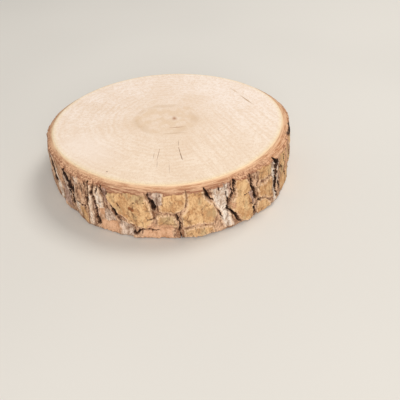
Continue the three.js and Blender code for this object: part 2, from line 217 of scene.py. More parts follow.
# Finer cracks, left out of the solid
HAIR_CRACKS = (
    Crack(0.7, ((-114.6, 17, 0.2), (-114.9, 14.8, 0.24), (-114.4, 12.6, 0.16))),
    Crack(0.6, ((-116.4, 10, 0.2), (-115.6, 9.5, 0.34), (-114.6, 8.6, 0.16))),
    Crack(0.6, ((-98, 7.7, 0.16), (-96.8, 7.8, 0.26), (-95.4, 8.3, 0.2))),
    Crack(0.5, ((-103.6, 13.9, 0.08), (-101, 14.4, 0.12), (-98.6, 14, 0.08))),
    Crack(0.6, ((-109.9, 12.6, 0.26), (-109.6, 11.8, 0.2))),
    Crack(0.7, ((-50.6, 5.4, 0.25), (-49.1, 5.6, 0.25), (-46.4, 6.3, 0.14))),
    Crack(0.6, ((-48.6, 16.6, 0.2), (-48.8, 14.4, 0.26), (-48.2, 12.6, 0.16))),
    Crack(0.5, ((-69.2, 8.6, 0.16), (-68.4, 7, 0.26), (-67.2, 5.2, 0.16))),
    Crack(0.6, ((-68.2, 17.4, 0.3), (-68, 16.4, 0.34), (-67.6, 15.8, 0.16))),
    Crack(0.6, ((-56.8, 11.8, 0.12), (-55.6, 11.2, 0.2), (-54.4, 11.4, 0.12))),
    Crack(0.6, ((-54.8, 6.6, 0.14), (-53.6, 6.8, 0.24), (-52.6, 6.2, 0.16))),
    Crack(0.8, ((-129.8, 15.8, 0.2), (-128.6, 14, 0.3), (-128.8, 11.6, 0.2))),
    Crack(0.7, ((-132.4, 8.4, 0.24), (-130, 7.2, 0.3), (-127.4, 6.8, 0.2))),
    Crack(0.8, ((-131.4, 15.4, 0.2), (-131.8, 12, 0.34), (-131.2, 9.4, 0.2))),
    Crack(0.8, ((-127.6, 11, 0.2), (-127.2, 8.4, 0.34), (-127.8, 4.4, 0.2))),
    Crack(0.9, ((-144.8, 15.6, 0.24), (-142.8, 12.2, 0.4), (-142.6, 8.8, 0.24))),
    Crack(0.9, ((-141.4, 13.6, 0.2), (-140, 10.6, 0.4), (-140.4, 7.4, 0.24))),
    Crack(0.8, ((-147.8, 14, 0.2), (-146.2, 10, 0.34), (-145.6, 6, 0.2))),
    Crack(0.8, ((-29.8, 11.8, 0.24), (-28.8, 10.2, 0.4), (-27.4, 8.6, 0.2))),
    Crack(0.9, ((-28.6, 17, 0.2), (-27.2, 13.6, 0.34), (-26.4, 10.8, 0.2))),
    Crack(0.8, ((-25, 15.6, 0.2), (-23.4, 9.4, 0.34), (-22.2, 3.6, 0.2))),
    Crack(0.8, ((-19.6, 17.4, 0.24), (-18.4, 11, 0.3), (-17.8, 5, 0.2))),
    Crack(0.7, ((-16, 16.4, 0.16), (-15, 11.6, 0.3), (-14.8, 7, 0.16))),
    Crack(1.2, ((-158.6, 17.2, 0.3), (-156.2, 14.6, 0.5), (-154.6, 12, 0.6), (-153.2, 9.4, 0.5),
                (-152.2, 7, 0.3))),
    Crack(0.9, ((-151.4, 13, 0.2), (-149.6, 10.4, 0.34), (-148.8, 7.6, 0.2))),
    Crack(0.8, ((-143.6, 17.2, 0.2), (-142.2, 15, 0.3), (-141.8, 13, 0.2))),
    Crack(0.9, ((-138.8, 8, 0.24), (-138.2, 5.6, 0.36), (-138.6, 3.4, 0.2))),
    Crack(0.7, ((-133.4, 17, 0.16), (-133.8, 14.8, 0.24), (-133.6, 13, 0.14))),
    Crack(0.6, ((-126.8, 17, 0.16), (-126.9, 14.6, 0.26), (-126.6, 12.2, 0.16))),
    Crack(0.7, ((-119.6, 17.6, 0.14), (-119.9, 15.8, 0.2), (-120.4, 14, 0.12))),
    Crack(0.8, ((-31.4, 14.8, 0.24), (-30.6, 11.4, 0.4), (-30.4, 7.8, 0.24))),
    Crack(0.9, ((-12.4, 17.4, 0.4), (-12.9, 14.2, 0.6), (-14.2, 10, 0.5), (-15.6, 6.4, 0.24))),
    Crack(0.8, ((-24.4, 17.6, 0.2), (-24, 15.4, 0.3), (-22.6, 12.8, 0.16))),
)

NEAR_PLATES = (
    Plate(0.3, LICHEN, ((-134.5, 18.6), (-131.5, 18.6), (-130.5, 9), (-131.5, 1), (-134.5, 5),
                        (-133.6, 12))),
    Plate(0.35, LICHEN, ((-124.2, 18.4), (-123.2, 18.4), (-123, 9), (-123, 1), (-125.3, 1), (-124.6, 9))),
    Plate(0.3, LICHEN, ((-121.5, 16), (-119.6, 17.6), (-118, 13.5), (-117.6, 9.5), (-119.6, 9),
                        (-121, 12))),
    Plate(0.55, OCHRE, ((-114.8, 17.4), (-112.5, 18.6), (-98.8, 18.6), (-98, 15.8), (-96.4, 13),
                        (-95.6, 9.5), (-96.2, 5.6), (-98.2, 3.9), (-103.5, 4.4), (-107.2, 6.8), (-111, 9.8),
                        (-114.6, 12.6))),
    Plate(-0.5, PEACH, ((-119, 4.6), (-111.5, 5), (-110.5, 0), (-119.5, 0))),
    Plate(-0.35, GREY, ((-110.4, 6.8), (-107, 5.8), (-103.4, 2.6), (-104.6, 0), (-110, 0))),
    Plate(0.5, OCHRE, ((-93.6, 17.6), (-82.6, 18.4), (-81.8, 15), (-83.4, 11.6), (-86.6, 10.4),
                       (-92.8, 11))),
    Plate(0.45, OCHRE, ((-81.6, 18.4), (-75.4, 18.4), (-74.6, 15.4), (-71, 11.6), (-69.6, 8), (-71.2, 4.6),
                        (-77.4, 5.4), (-84.2, 5), (-84.6, 9), (-82.4, 11))),
    Plate(0.3, OCHRE, ((-94, 9.6), (-87, 9.4), (-86.6, 4.4), (-94.6, 4.6))),
    Plate(0.35, OCHRE, ((-83.6, 3.8), (-77.2, 4.4), (-71.4, 3.6), (-70.5, 0.5), (-83.6, 0))),
    Plate(0.45, LICHEN, ((-72.4, 18.6), (-66.6, 18.8), (-65.8, 14), (-64.6, 9.5), (-61.8, 0.6),
                         (-66.6, 0.6), (-68.4, 8), (-71.4, 13))),
    Plate(0.5, OCHRE, ((-60.8, 18.6), (-55.4, 18.8), (-53.6, 15), (-52, 9), (-51.8, 0.4), (-56.8, 0.4),
                       (-59.6, 3), (-63.6, 8.2), (-61.2, 12.4))),
    Plate(0.3, OCHRE, ((-50.6, 18.4), (-39.6, 18.6), (-39.4, 12.6), (-44.6, 12.6), (-50, 13))),
    Plate(0.5, OCHRE, ((-49.6, 12), (-44.6, 11.8), (-39, 11.4), (-38.8, 3), (-43, 4.2), (-46, 6),
                       (-48.8, 6.8))),
    Plate(0.35, OCHRE, ((-48.8, 5.8), (-44.6, 4.8), (-41.6, 2.4), (-40.6, 0), (-48.4, 0), (-49.8, 2.4))),
    Plate(0.4, LICHEN, ((-39.7, 18), (-38.7, 17.4), (-38.5, 9), (-37.2, 1), (-38.6, 1), (-39.4, 10))),
)

# Patches of colour alone, level with the bark round them
NEAR_STAINS = (
    Plate(0, MAUVE, ((-176, 18.6), (-168, 18.6), (-164, 9), (-163, 0), (-174, 0))),
    Plate(0, LICHEN, ((-157, 18), (-154.6, 18), (-150, 8), (-149, 1), (-153, 1), (-155, 9))),
    Plate(0, PEACH, ((-151.4, 18.4), (-146, 18.4), (-143.4, 11), (-147.4, 10))),
    Plate(0, MAUVE, ((-148, 9), (-143, 10), (-139.4, 8), (-139, 2), (-147, 2))),
    Plate(0, GREY, ((-143, 16), (-138.6, 14), (-137.4, 7.6), (-141, 6.6))),
    Plate(0, BROWN, ((-133, 14.8), (-128.6, 15.2), (-126.4, 9.6), (-130, 7.6), (-132.8, 9))),
    Plate(0, PEACH, ((-131, 13), (-129.4, 13.2), (-128.6, 10.6), (-130.4, 10))),
    Plate(0, PEACH, ((-130.8, 17.8), (-127.4, 17.8), (-127, 16.2), (-130.2, 16))),
    Plate(0, OCHRE, ((-132, 6.6), (-127, 5.8), (-126, 1), (-131, 0.6))),
    Plate(0, MAUVE, ((-122.6, 11.4), (-120.4, 10.6), (-120, 7), (-121.8, 6.6))),
    Plate(0, PEACH, ((-119.4, 9.6), (-116.4, 9.4), (-116.2, 7.2), (-119, 6.6))),
    Plate(0, MAUVE, ((-117.8, 17.8), (-114.6, 17.8), (-114.8, 11.6), (-116.6, 12))),
    Plate(0, GREY, ((-117, 9.2), (-113.6, 9.4), (-111.8, 5.2), (-116.6, 5.4))),
    Plate(0, PEACH, ((-97.4, 6.4), (-88, 5.6), (-88, 0), (-101, 0))),
    Plate(0, MAUVE, ((-97.4, 17.8), (-95.4, 17.8), (-95, 13), (-97, 15.6))),
    Plate(0, GREY, ((-95.4, 17.8), (-91, 17.8), (-91.6, 13.6), (-94.6, 13))),
    Plate(0, LICHEN, ((-67.6, 18.2), (-64.2, 18.1), (-63.4, 14.6), (-64.2, 12.2), (-65.2, 12.6), (-67, 14))),
    Plate(0, MAUVE, ((-64.2, 17.9), (-63, 17.9), (-62.9, 14), (-63.9, 14))),
    Plate(0, PEACH, ((-62.5, 17.9), (-61.4, 17.9), (-61.8, 12), (-62.5, 12))),
    Plate(0, PEACH, ((-63.2, 9.9), (-61, 10), (-60.6, 7.4), (-62.4, 7))),
    Plate(0, BROWN, ((-50.8, 17.4), (-47.4, 17), (-47.2, 12.6), (-50.6, 12.4))),
    Plate(0, MAUVE, ((-54.4, 12), (-52.2, 12.4), (-51.2, 6.6), (-52.8, 6.4))),
    Plate(0, OCHRE, ((-31.6, 18.8), (-12, 18.8), (-12, 0), (-30.6, 0))),
    Plate(0, PEACH, ((-26.6, 18.4), (-23, 18.4), (-19, 6), (-22.6, 5.4))),
    Plate(0, BROWN, ((-21.6, 18), (-18.8, 18), (-14.6, 4), (-17, 4))),
    Plate(0, BROWN, ((-35, 16.6), (-31.4, 15.8), (-30, 8), (-31.6, 2.4), (-35, 3.4))),
    Plate(0, LICHEN, ((-34.6, 15.6), (-33.8, 15.4), (-33.8, 6), (-34.6, 6))),
    Plate(0, LICHEN, ((-39.8, 18), (-37.4, 17.6), (-37.2, 9), (-36.6, 2), (-38.6, 1.6), (-39.6, 10))),
)


@dataclass(frozen=True)
class CrackStyle:
    """How a drawn crack runs: least and greatest half width, wander in degrees, and reach of painted shade.
    """

    half: Pair
    wander: float
    dark: float


@dataclass(frozen=True)
class FarRule:
    """The rule that lays out the bark of the far side, as the solid's does.

    A pair is the least and the greatest value of a draw. A share is how many cracks run to the edge.
    """

    start: float = -1
    end: float = 189
    seed: int = 20
    step: Pair = (4.5, 13)
    lean: float = 7
    points: int = 7
    taper: Pair = (0.1, 0.9)
    long: CrackStyle = CrackStyle((0.35, 0.95), 3, 0.62)
    depth: Pair = (1.6, 3)
    top: float = 18.6
    top_share: float = 0.65
    low_top: Pair = (10, 16)
    foot_share: float = 0.55
    high_foot: Pair = (3, 8)
    length: Pair = (2.5, 6)
    short: CrackStyle = CrackStyle((0.35, 0.95), 3, 0.45)
    short_depth: Pair = (1, 1.9)
    short_top: Pair = (7, 17)
    short_place: Pair = (0.35, 0.65)
    rise: Pair = (-0.3, 0.6)
    gap: float = 0.7
    break_height: Pair = (5, 14)
    break_slant: Pair = (-3.5, 3.5)
    break_gap: float = 0.3
    plate_foot: float = 0.2
    hairs: int = 44
    hair: CrackStyle = CrackStyle((0.14, 0.4), 1.1, 0.8)
    hair_depth: Pair = (0.6, 1.0)
    hair_low_top: float = 6
    kinds: tuple[BarkKind, ...] = (OCHRE, OCHRE, OCHRE, LICHEN, PEACH, MAUVE, OCHRE, GREY)

    def crack(self, draw: Draw, angle: float, lean: float, top: float, foot: float, depth: float,
              style: CrackStyle) -> Crack:
        """Draws a crack that wanders down from one place, widest in the middle.

        Args:
            draw: the seeded draw.
            angle: where the middle of the crack would be if it didn't wander.
            lean: how far it leans from its top to its foot.
            top: height of its top.
            foot: height of its foot.
            depth: how deep it is.
            style: how wide, wandering and dark it is.

        Returns:
            The crack.
        """
        route = []
        side = angle - lean / 2
        for step in range(self.points):
            share = step / (self.points - 1)
            swell = math.sin(math.pi * between(*self.taper, share))
            route.append((side, between(top, foot, share), between(*style.half, swell * draw())))
            side += lean / (self.points - 1) + style.wander * (draw() - 0.5)
        return Crack(depth, tuple(route), style.dark)

    def long_cracks(self, draw: Draw) -> list[Crack]:
        """Draws the long cracks, some degrees apart, some of them stopping short.

        Args:
            draw: the seeded draw.

        Returns:
            The cracks in order round the edge.
        """
        cracks = []
        angle = self.start
        while angle < self.end:
            lean = self.lean * (draw() - 0.5)
            top = self.top if draw() < self.top_share else between(*self.low_top, draw())
            foot = 0 if draw() < self.foot_share else between(*self.high_foot, draw())
            depth = between(*self.depth, draw())
            cracks.append(self.crack(draw, angle, lean, top, foot, depth, self.long))
            angle += between(*self.step, draw())
        return cracks

    def plates(self, draw: Draw, cracks: Sequence[Crack]) -> list[Plate]:
        """Lays two plates between each pair of neighbouring cracks, parted by a slanting line.

        Args:
            draw: the seeded draw.
            cracks: the long cracks.

        Returns:
            The plates.
        """
        kinds = draws(self.seed + 1)
        plates = []
        for left, right in zip(cracks, cracks[1:]):
            left_top, left_foot = left.route[0][0] + self.gap, left.route[-1][0] + self.gap
            right_top, right_foot = right.route[0][0] - self.gap, right.route[-1][0] - self.gap
            left_break = between(*self.break_height, draw())
            right_break = left_break + between(*self.break_slant, draw())
            left_middle = between(left_foot, left_top, left_break / self.top)
            right_middle = between(right_foot, right_top, right_break / self.top)
            gap, foot = self.break_gap, self.plate_foot
            upper = ((left_top, self.top), (right_top, self.top),
                     (right_middle, right_break + gap), (left_middle, left_break + gap))
            lower = ((left_middle, left_break - gap), (right_middle, right_break - gap),
                     (right_foot, foot), (left_foot, foot))
            for corners in (upper, lower):
                plates.append(Plate(between(*self.rise, draw()), self.kind(kinds()), corners))
        return plates

    def short_cracks(self, draw: Draw, cracks: Sequence[Crack]) -> list[Crack]:
        """Draws a short slanting crack in each of the wider plates.

        Args:
            draw: the seeded draw.
            cracks: the long cracks.

        Returns:
            The short cracks.
        """
        shorts = []
        for left, right in zip(cracks, cracks[1:]):
            gap = right.route[0][0] - left.route[0][0]
            angle = right.route[0][0] - gap * between(*self.short_place, draw())
            top = between(*self.short_top, draw())
            foot = top - between(*self.length, draw())
            lean = 2 * self.lean * (draw() - 0.5)
            depth = between(*self.short_depth, draw())
            if gap > self.step[1] / 2:
                shorts.append(self.crack(draw, angle, lean, top, foot, depth, self.short))
        return shorts

    def hair_cracks(self) -> list[Crack]:
        """Draws fine cracks anywhere on the far side, which are left out of the solid.

        Returns:
            The hair cracks.
        """
        draw = draws(self.seed + 2)
        hairs = []
        for _ in range(self.hairs):
            angle = between(self.start, self.end, draw())
            top = between(self.hair_low_top, self.top, draw())
            foot = top - between(*self.length, draw())
            lean = self.lean * (draw() - 0.5)
            depth = between(*self.hair_depth, draw())
            hairs.append(self.crack(draw, angle, lean, top, foot, depth, self.hair))
        return hairs

    def kind(self, share: float) -> BarkKind:
        """Returns the kind of bark for a drawn share: half of it ochre, the rest mixed."""
        return self.kinds[int(share * len(self.kinds))]


@dataclass(frozen=True)
class Grain:
    """Smooth seeded noise wrapped round the edge: cells across and along in mm, with finer octaves."""

    across: float
    along: float
    octaves: int
    seed: int
    rows: int = 64
    row_shift: float = 0.37

    def at(self, angle: Array, height: Array) -> Array:
        """Reads the noise: an eased blend of the random values at the four corners of each cell.

        Args:
            angle: places round the edge.
            height: places up the edge, or out across the rim.

        Returns:
            Values from about -1 to 1.
        """
        total = np.zeros(np.broadcast(angle, height).shape)
        weight = 0.0
        for octave in range(self.octaves):
            fine = 2.0 ** octave
            count = max(3, round(GIRTH / self.across * fine))
            table = np.random.default_rng(self.seed + octave).uniform(-1, 1, (self.rows, count))
            x = (angle % 360.0) / 360.0 * count
            y = height / self.along * fine + self.seed * self.row_shift
            x0, y0 = np.floor(x).astype(int), np.floor(y).astype(int)
            u, v = ease(0.0, 1.0, x - x0), ease(0.0, 1.0, y - y0)
            x0, x1 = x0 % count, (x0 + 1) % count
            y0, y1 = y0 % self.rows, (y0 + 1) % self.rows
            low = table[y0, x0] * (1 - u) + table[y0, x1] * u
            high = table[y1, x0] * (1 - u) + table[y1, x1] * u
            total += (low * (1 - v) + high * v) / fine
            weight += 1.0 / fine
        return total / weight


@dataclass(frozen=True)
class Flakes:
    """Scales of bark: cells round scattered points, each with its own height, lean and tone.

    They are across by along mm. In mm too, rise is how far they stand out or in, lean is their lean across
    one cell, and gap is how deep the gap at their edge is.
    """

    across: float
    along: float
    seed: int
    rise: float
    lean: float
    gap: float
    rows: int = 48
    scatter: Pair = (0.1, 0.9)
    row_shift: float = 2.0

    def at(self, angle: Array, height: Array) -> tuple[Array, Array, Array]:
        """Finds the scale that each place lies on: that of the nearest point in the nine cells round it.

        Args:
            angle: places round the edge.
            height: places up the edge.

        Returns:
            The scale's tone from -1 to 1, its lean at the place, and how far the place is from its edge, in
            cells.
        """
        count = round(GIRTH / self.across)
        random = np.random.default_rng(self.seed)
        side, rise = random.uniform(*self.scatter, (2, self.rows, count))
        tone, lean_side, lean_rise = random.uniform(-1, 1, (3, self.rows, count))
        x, y = (angle % 360.0) / 360.0 * count, height / self.along + self.row_shift
        column, row = np.floor(x).astype(int), np.floor(y).astype(int)
        nearest, second = np.full(x.shape, np.inf), np.full(x.shape, np.inf)
        found, lean = np.zeros(x.shape), np.zeros(x.shape)
        for down in (-1, 0, 1):
            for over in (-1, 0, 1):
                r, c = (row + down) % self.rows, (column + over) % count
                dx, dy = column + over + side[r, c] - x, row + down + rise[r, c] - y
                away = np.hypot(dx, dy)
                closer = away < nearest
                second = np.where(closer, nearest, np.minimum(second, away))
                nearest = np.where(closer, away, nearest)
                found = np.where(closer, tone[r, c], found)
                lean = np.where(closer, lean_side[r, c] * dx + lean_rise[r, c] * dy, lean)
        return found, lean, second - nearest




@dataclass(frozen=True)
class BranchForm:
    """The shape of the slice: sizes in mm, shared with the solid, and the formulas that bend it.

    The middle is that of the solid's box, which is the origin of the frame.
    """

    thickness: float = 19.5
    wood: float = 42.9
    bark: float = 46.0
    slope: float = 0.62
    blend: float = 0.4
    least: float = 0.8
    arris: float = 0.25
    arris_height: float = 0.5
    lobes: tuple[Triple, ...] = ((2, 0.26, 0), (3, -0.21, 0.4), (4, 0.19, 0.21))
    knots: tuple[Triple, ...] = (
        (-180, 2.8, 2.8), (-162, 2.6, 2.8), (-150, 2.6, 2.4), (-138, 3.3, 3.2), (-127, 3.4, 4.5),
        (-116, 3.4, 4.2), (-106, 2.8, 4), (-96, 2.6, 3.6), (-80, 2.7, 4), (-65, 2.4, 4.1),
        (-50, 2.9, 4.5), (-36, 3.8, 4.8), (-24, 3.7, 4.2), (-11, 3.6, 3.4), (10, 3.2, 3.6),
        (40, 3, 3.9), (75, 3.5, 3.2), (110, 2.8, 3.6), (140, 3.4, 4.1), (162, 2.9, 3.2), (180, 2.8, 2.8),
    )
    waves: tuple[tuple[float, int, float, float], ...] = (
        (0.16, 9, 0.35, 0), (0.12, 17, -0.5, 1), (0.1, 4, 0.9, 2),
    )
    middle: Pair = (0.344693, -0.418537)
    fade: Pair = (16.9, 18.6)
    mouth_soft: float = 0.2
    reach: float = 2.5

    def spin(self, length: float) -> float:
        """Returns the angle that a length takes up round the bark."""
        return math.degrees(length / self.bark)

    def wood_radius(self, angle: Array) -> Array:
        """Works out the wood's outline: a radius, and a cosine and a sine of each lobe's count of the angle.

        Args:
            angle: angles of the places.

        Returns:
            The radius at each.
        """
        radius = np.full(np.shape(angle), self.wood)
        for count, cosine, sine in self.lobes:
            turned = np.radians(count * angle)
            radius = radius + cosine * np.cos(turned) + sine * np.sin(turned)
        return radius

    def bark_thickness(self, angle: Array, height: Array) -> Array:
        """Works out the bark's thickness, eased between the knots round the edge and straight up the edge.

        Args:
            angle: angles of the places.
            height: their heights.

        Returns:
            The thickness at each.
        """
        knots = np.array(self.knots)
        after = np.clip(np.searchsorted(knots[:, 0], angle, side="right"), 1, len(knots) - 1)
        before, following = knots[after - 1], knots[after]
        share = ease(before[..., 0], following[..., 0], angle)
        top, foot = (between(before[..., level], following[..., level], share) for level in (1, 2))
        return between(foot, top, height / self.thickness)

    def off_segment(self, angle: Array, height: Array, start: Sequence[float],
                    end: Sequence[float]) -> tuple[Array, Array]:
        """Finds how far places lie along and off the line between two points on the unrolled bark."""
        per_degree = math.radians(self.bark)
        return off_line(turn(start[0], angle) * per_degree, height - start[1],
                        turn(start[0], end[0]) * per_degree, end[1] - start[1])

    def near(self, angle: Array, height: Array, points: Sequence[Sequence[float]]) -> Array:
        """Finds the places within reach of the box round a list of points, to save work.

        Args:
            angle: angles of the places, in one row.
            height: their heights.
            points: the points, each an angle and a height first.

        Returns:
            The indices of those places.
        """
        middle = points[0][0]
        sides = [turn(middle, point[0]) for point in points]
        heights = [point[1] for point in points]
        margin = self.spin(self.reach)
        offset = turn(middle, angle)
        inside = (offset > min(sides) - margin) & (offset < max(sides) + margin)
        inside &= (height > min(heights) - self.reach) & (height < max(heights) + self.reach)
        return np.nonzero(inside)[0]

    def crack_cut(self, angle: Array, height: Array, cracks: Sequence[Crack], wall: Pair,
                  swell: Array) -> tuple[Array, Array]:
        """Finds the deepest cut of any crack: full in its middle, eased out across its walls and at the rim.

        Args:
            angle: angles of the places, in one row.
            height: their heights.
            cracks: the cracks.
            wall: where the walls start and end, in half widths.
            swell: how much wider than drawn the cracks are at each place.

        Returns:
            The cut at each place in mm, and how far inside the painted shade of a crack's mouth it lies,
            from 0 to 1.
        """
        cut, mouth = np.zeros(angle.shape), np.zeros(angle.shape)
        for crack in cracks:
            index = self.near(angle, height, crack.route)
            for start, end in zip(crack.route, crack.route[1:]):
                along, away = self.off_segment(angle[index], height[index], start, end)
                half = between(start[2], end[2], along) * swell[index]
                depth = crack.depth * (1 - ease(wall[0] * half, wall[1] * half, away))
                cut[index] = np.maximum(cut[index], depth)
                # The painted shade of the mouth reaches the crack's dark share of its half width
                lip_shade = crack.dark * half
                mouth[index] = np.maximum(mouth[index], 1 - ease(lip_shade, lip_shade + self.mouth_soft * half, away))
        fade = 1 - ease(*self.fade, height)
        return cut * fade, mouth * fade

    def plate_share(self, angle: Array, height: Array, plate: Plate,
                    edge: float) -> tuple[Array, Array, Array]:
        """Finds how far places are on a plate: 1 well inside its outline, 0 outside, eased over its edge.

        A place is inside where a level line from it crosses the outline an odd number of times.

        Args:
            angle: angles of the places, in one row.
            height: their heights.
            plate: the plate.
            edge: the width over which its rim eases.

        Returns:
            The indices of the places near the plate, the share of each, and how far in it lies in mm.
        """
        index = self.near(angle, height, plate.corners)
        a, h = angle[index], height[index]
        nearest = np.full(a.shape, np.inf)
        inside = np.zeros(a.shape, dtype=bool)
        for start, end in zip(plate.corners, plate.corners[1:] + plate.corners[:1]):
            nearest = np.minimum(nearest, self.off_segment(a, h, start, end)[1])
            if start[1] == end[1]:
                continue
            crosses = (start[1] > h) != (end[1] > h)
            share = (h - start[1]) / (end[1] - start[1])
            inside ^= crosses & (between(turn(a, start[0]), turn(a, end[0]), share) > 0)
        depth = np.where(inside, nearest, -nearest)
        return index, ease(-edge / 2, edge / 2, depth), depth

    def ripple(self, angle: Array, height: Array) -> Array:
        """Returns the shallow waves of the bark: a sum of sines of the angle and the height."""
        return sum(size * np.sin(np.radians(count * angle) + climb * height + start)
                   for size, count, climb, start in self.waves)

    def chamfer(self, wood: Array, height: Array) -> Array:
        """Returns the chamfer's radius, which grows down from the wood's edge."""
        return wood + (self.thickness - height) / self.slope

    def cut_by_chamfer(self, wood: Array, bark: Array, height: Array) -> Array:
        """Cuts the bark by the chamfer, rounded where the two meet by a smooth minimum.

        Args:
            wood: the wood's radius at each place.
            bark: the bark's radius there.
            height: the height.

        Returns:
            The radius that is left.
        """
        chamfer = self.chamfer(wood, height)
        blend = np.maximum(0.0, self.blend - np.abs(bark - chamfer)) / self.blend
        return np.minimum(bark, chamfer) - blend * blend * self.blend * np.minimum(1.0, chamfer - wood) / 4

    def foot_arris(self, height: Array) -> Array:
        """Returns how far the lower edge is eased in at each height."""
        return self.arris * (1 - ease(0, self.arris_height, height))

    def framed(self, x: float | Array, y: float | Array, z: float | Array) -> Array:
        """Returns places in the frame, in rows of x, y and z, from places about the branch's middle."""
        return np.stack([x - self.middle[0], y - self.middle[1], z], axis=-1).reshape(-1, 3)


def show(name: str, data: bpy.types.ID) -> bpy.types.Object:
    """Adds an object to the scene."""
    thing = bpy.data.objects.new(name, data)
    bpy.context.scene.collection.objects.link(thing)
    return thing


def skin(name: str, points: Array, faces: Array, flat: Array, values: dict[str, Array]) -> bpy.types.Object:
    """Makes a mesh object from whole arrays, with its place in its mesh.

    Args:
        name: the object's name.
        points: corners, one row of x, y, z in mm for each.
        faces: four corner indices for each face, with the last repeated on a triangle.
        flat: whether each face is shaded flat.
        values: named numbers, one for each corner.

    Returns:
        The object, linked to the scene.
    """
    sides = np.where(faces[:, 2] == faces[:, 3], 3, 4)
    loops = faces.ravel()[np.column_stack([np.ones((len(faces), 3), bool), sides == 4]).ravel()]
    mesh = bpy.data.meshes.new(name)
    mesh.vertices.add(len(points))
    mesh.vertices.foreach_set("co", (points * MM).ravel())
    mesh.loops.add(len(loops))
    mesh.loops.foreach_set("vertex_index", loops)
    mesh.polygons.add(len(faces))
    mesh.polygons.foreach_set("loop_start", np.concatenate([[0], np.cumsum(sides)[:-1]]))
    mesh.polygons.foreach_set("use_smooth", ~flat)
    mesh.update(calc_edges=True)
    for label, numbers in values.items():
        attribute = mesh.attributes.new(label, "FLOAT", "POINT")
        attribute.data.foreach_set("value", np.ascontiguousarray(numbers, dtype=np.float32))
    return show(name, mesh)


def ring_faces(rings: int, columns: int, closed: bool) -> Array:
    """Lists the faces between rings of points, each ring closed on itself.

    Args:
        rings: how many rings.
        columns: how many points in each.
        closed: whether the last ring joins the first.

    Returns:
        Four corner indices for each face, facing outwards where the rings run out, down and in.
    """
    ring, column = np.meshgrid(np.arange(rings if closed else rings - 1), np.arange(columns), indexing="ij")
    after, beside = (ring + 1) % rings, (column + 1) % columns
    corners = (ring * columns + column, after * columns + column, after * columns + beside,
               ring * columns + beside)
    return np.stack([corner.ravel() for corner in corners], axis=1)


def linear(red: int, green: int, blue: int) -> Colour:
    """Turns a colour of 0 to 255 as seen on a screen into the renderer's linear numbers."""
    shares = np.array([red, green, blue]) / 255
    lit = np.where(shares <= 0.04045, shares / 12.92, ((shares + 0.055) / 1.055) ** 2.4)
    return tuple(float(value) for value in lit)


@dataclass(frozen=True)
class Ramp:
    """An eased change: what goes from start to end while a number goes from low to high."""

    low: float
    high: float
    start: float = 0.0
    end: float = 1.0


@dataclass(frozen=True)
class Noise:
    """Noise in a piece's own coordinates, from 0 to 1 with its middle at 0.5.

    Size is how large its features are in mm, and detail how many octaves of finer noise lie on top. Stretch
    is how much longer the features are along each axis, spin how far they are turned about Z in degrees, and
    skew how much the pattern is pulled about by itself.
    """

    size: float
    detail: float = 3.0
    stretch: Triple = (1, 1, 1)
    spin: float = 0.0
    skew: float = 0.0


Patch = tuple[Noise, Ramp]


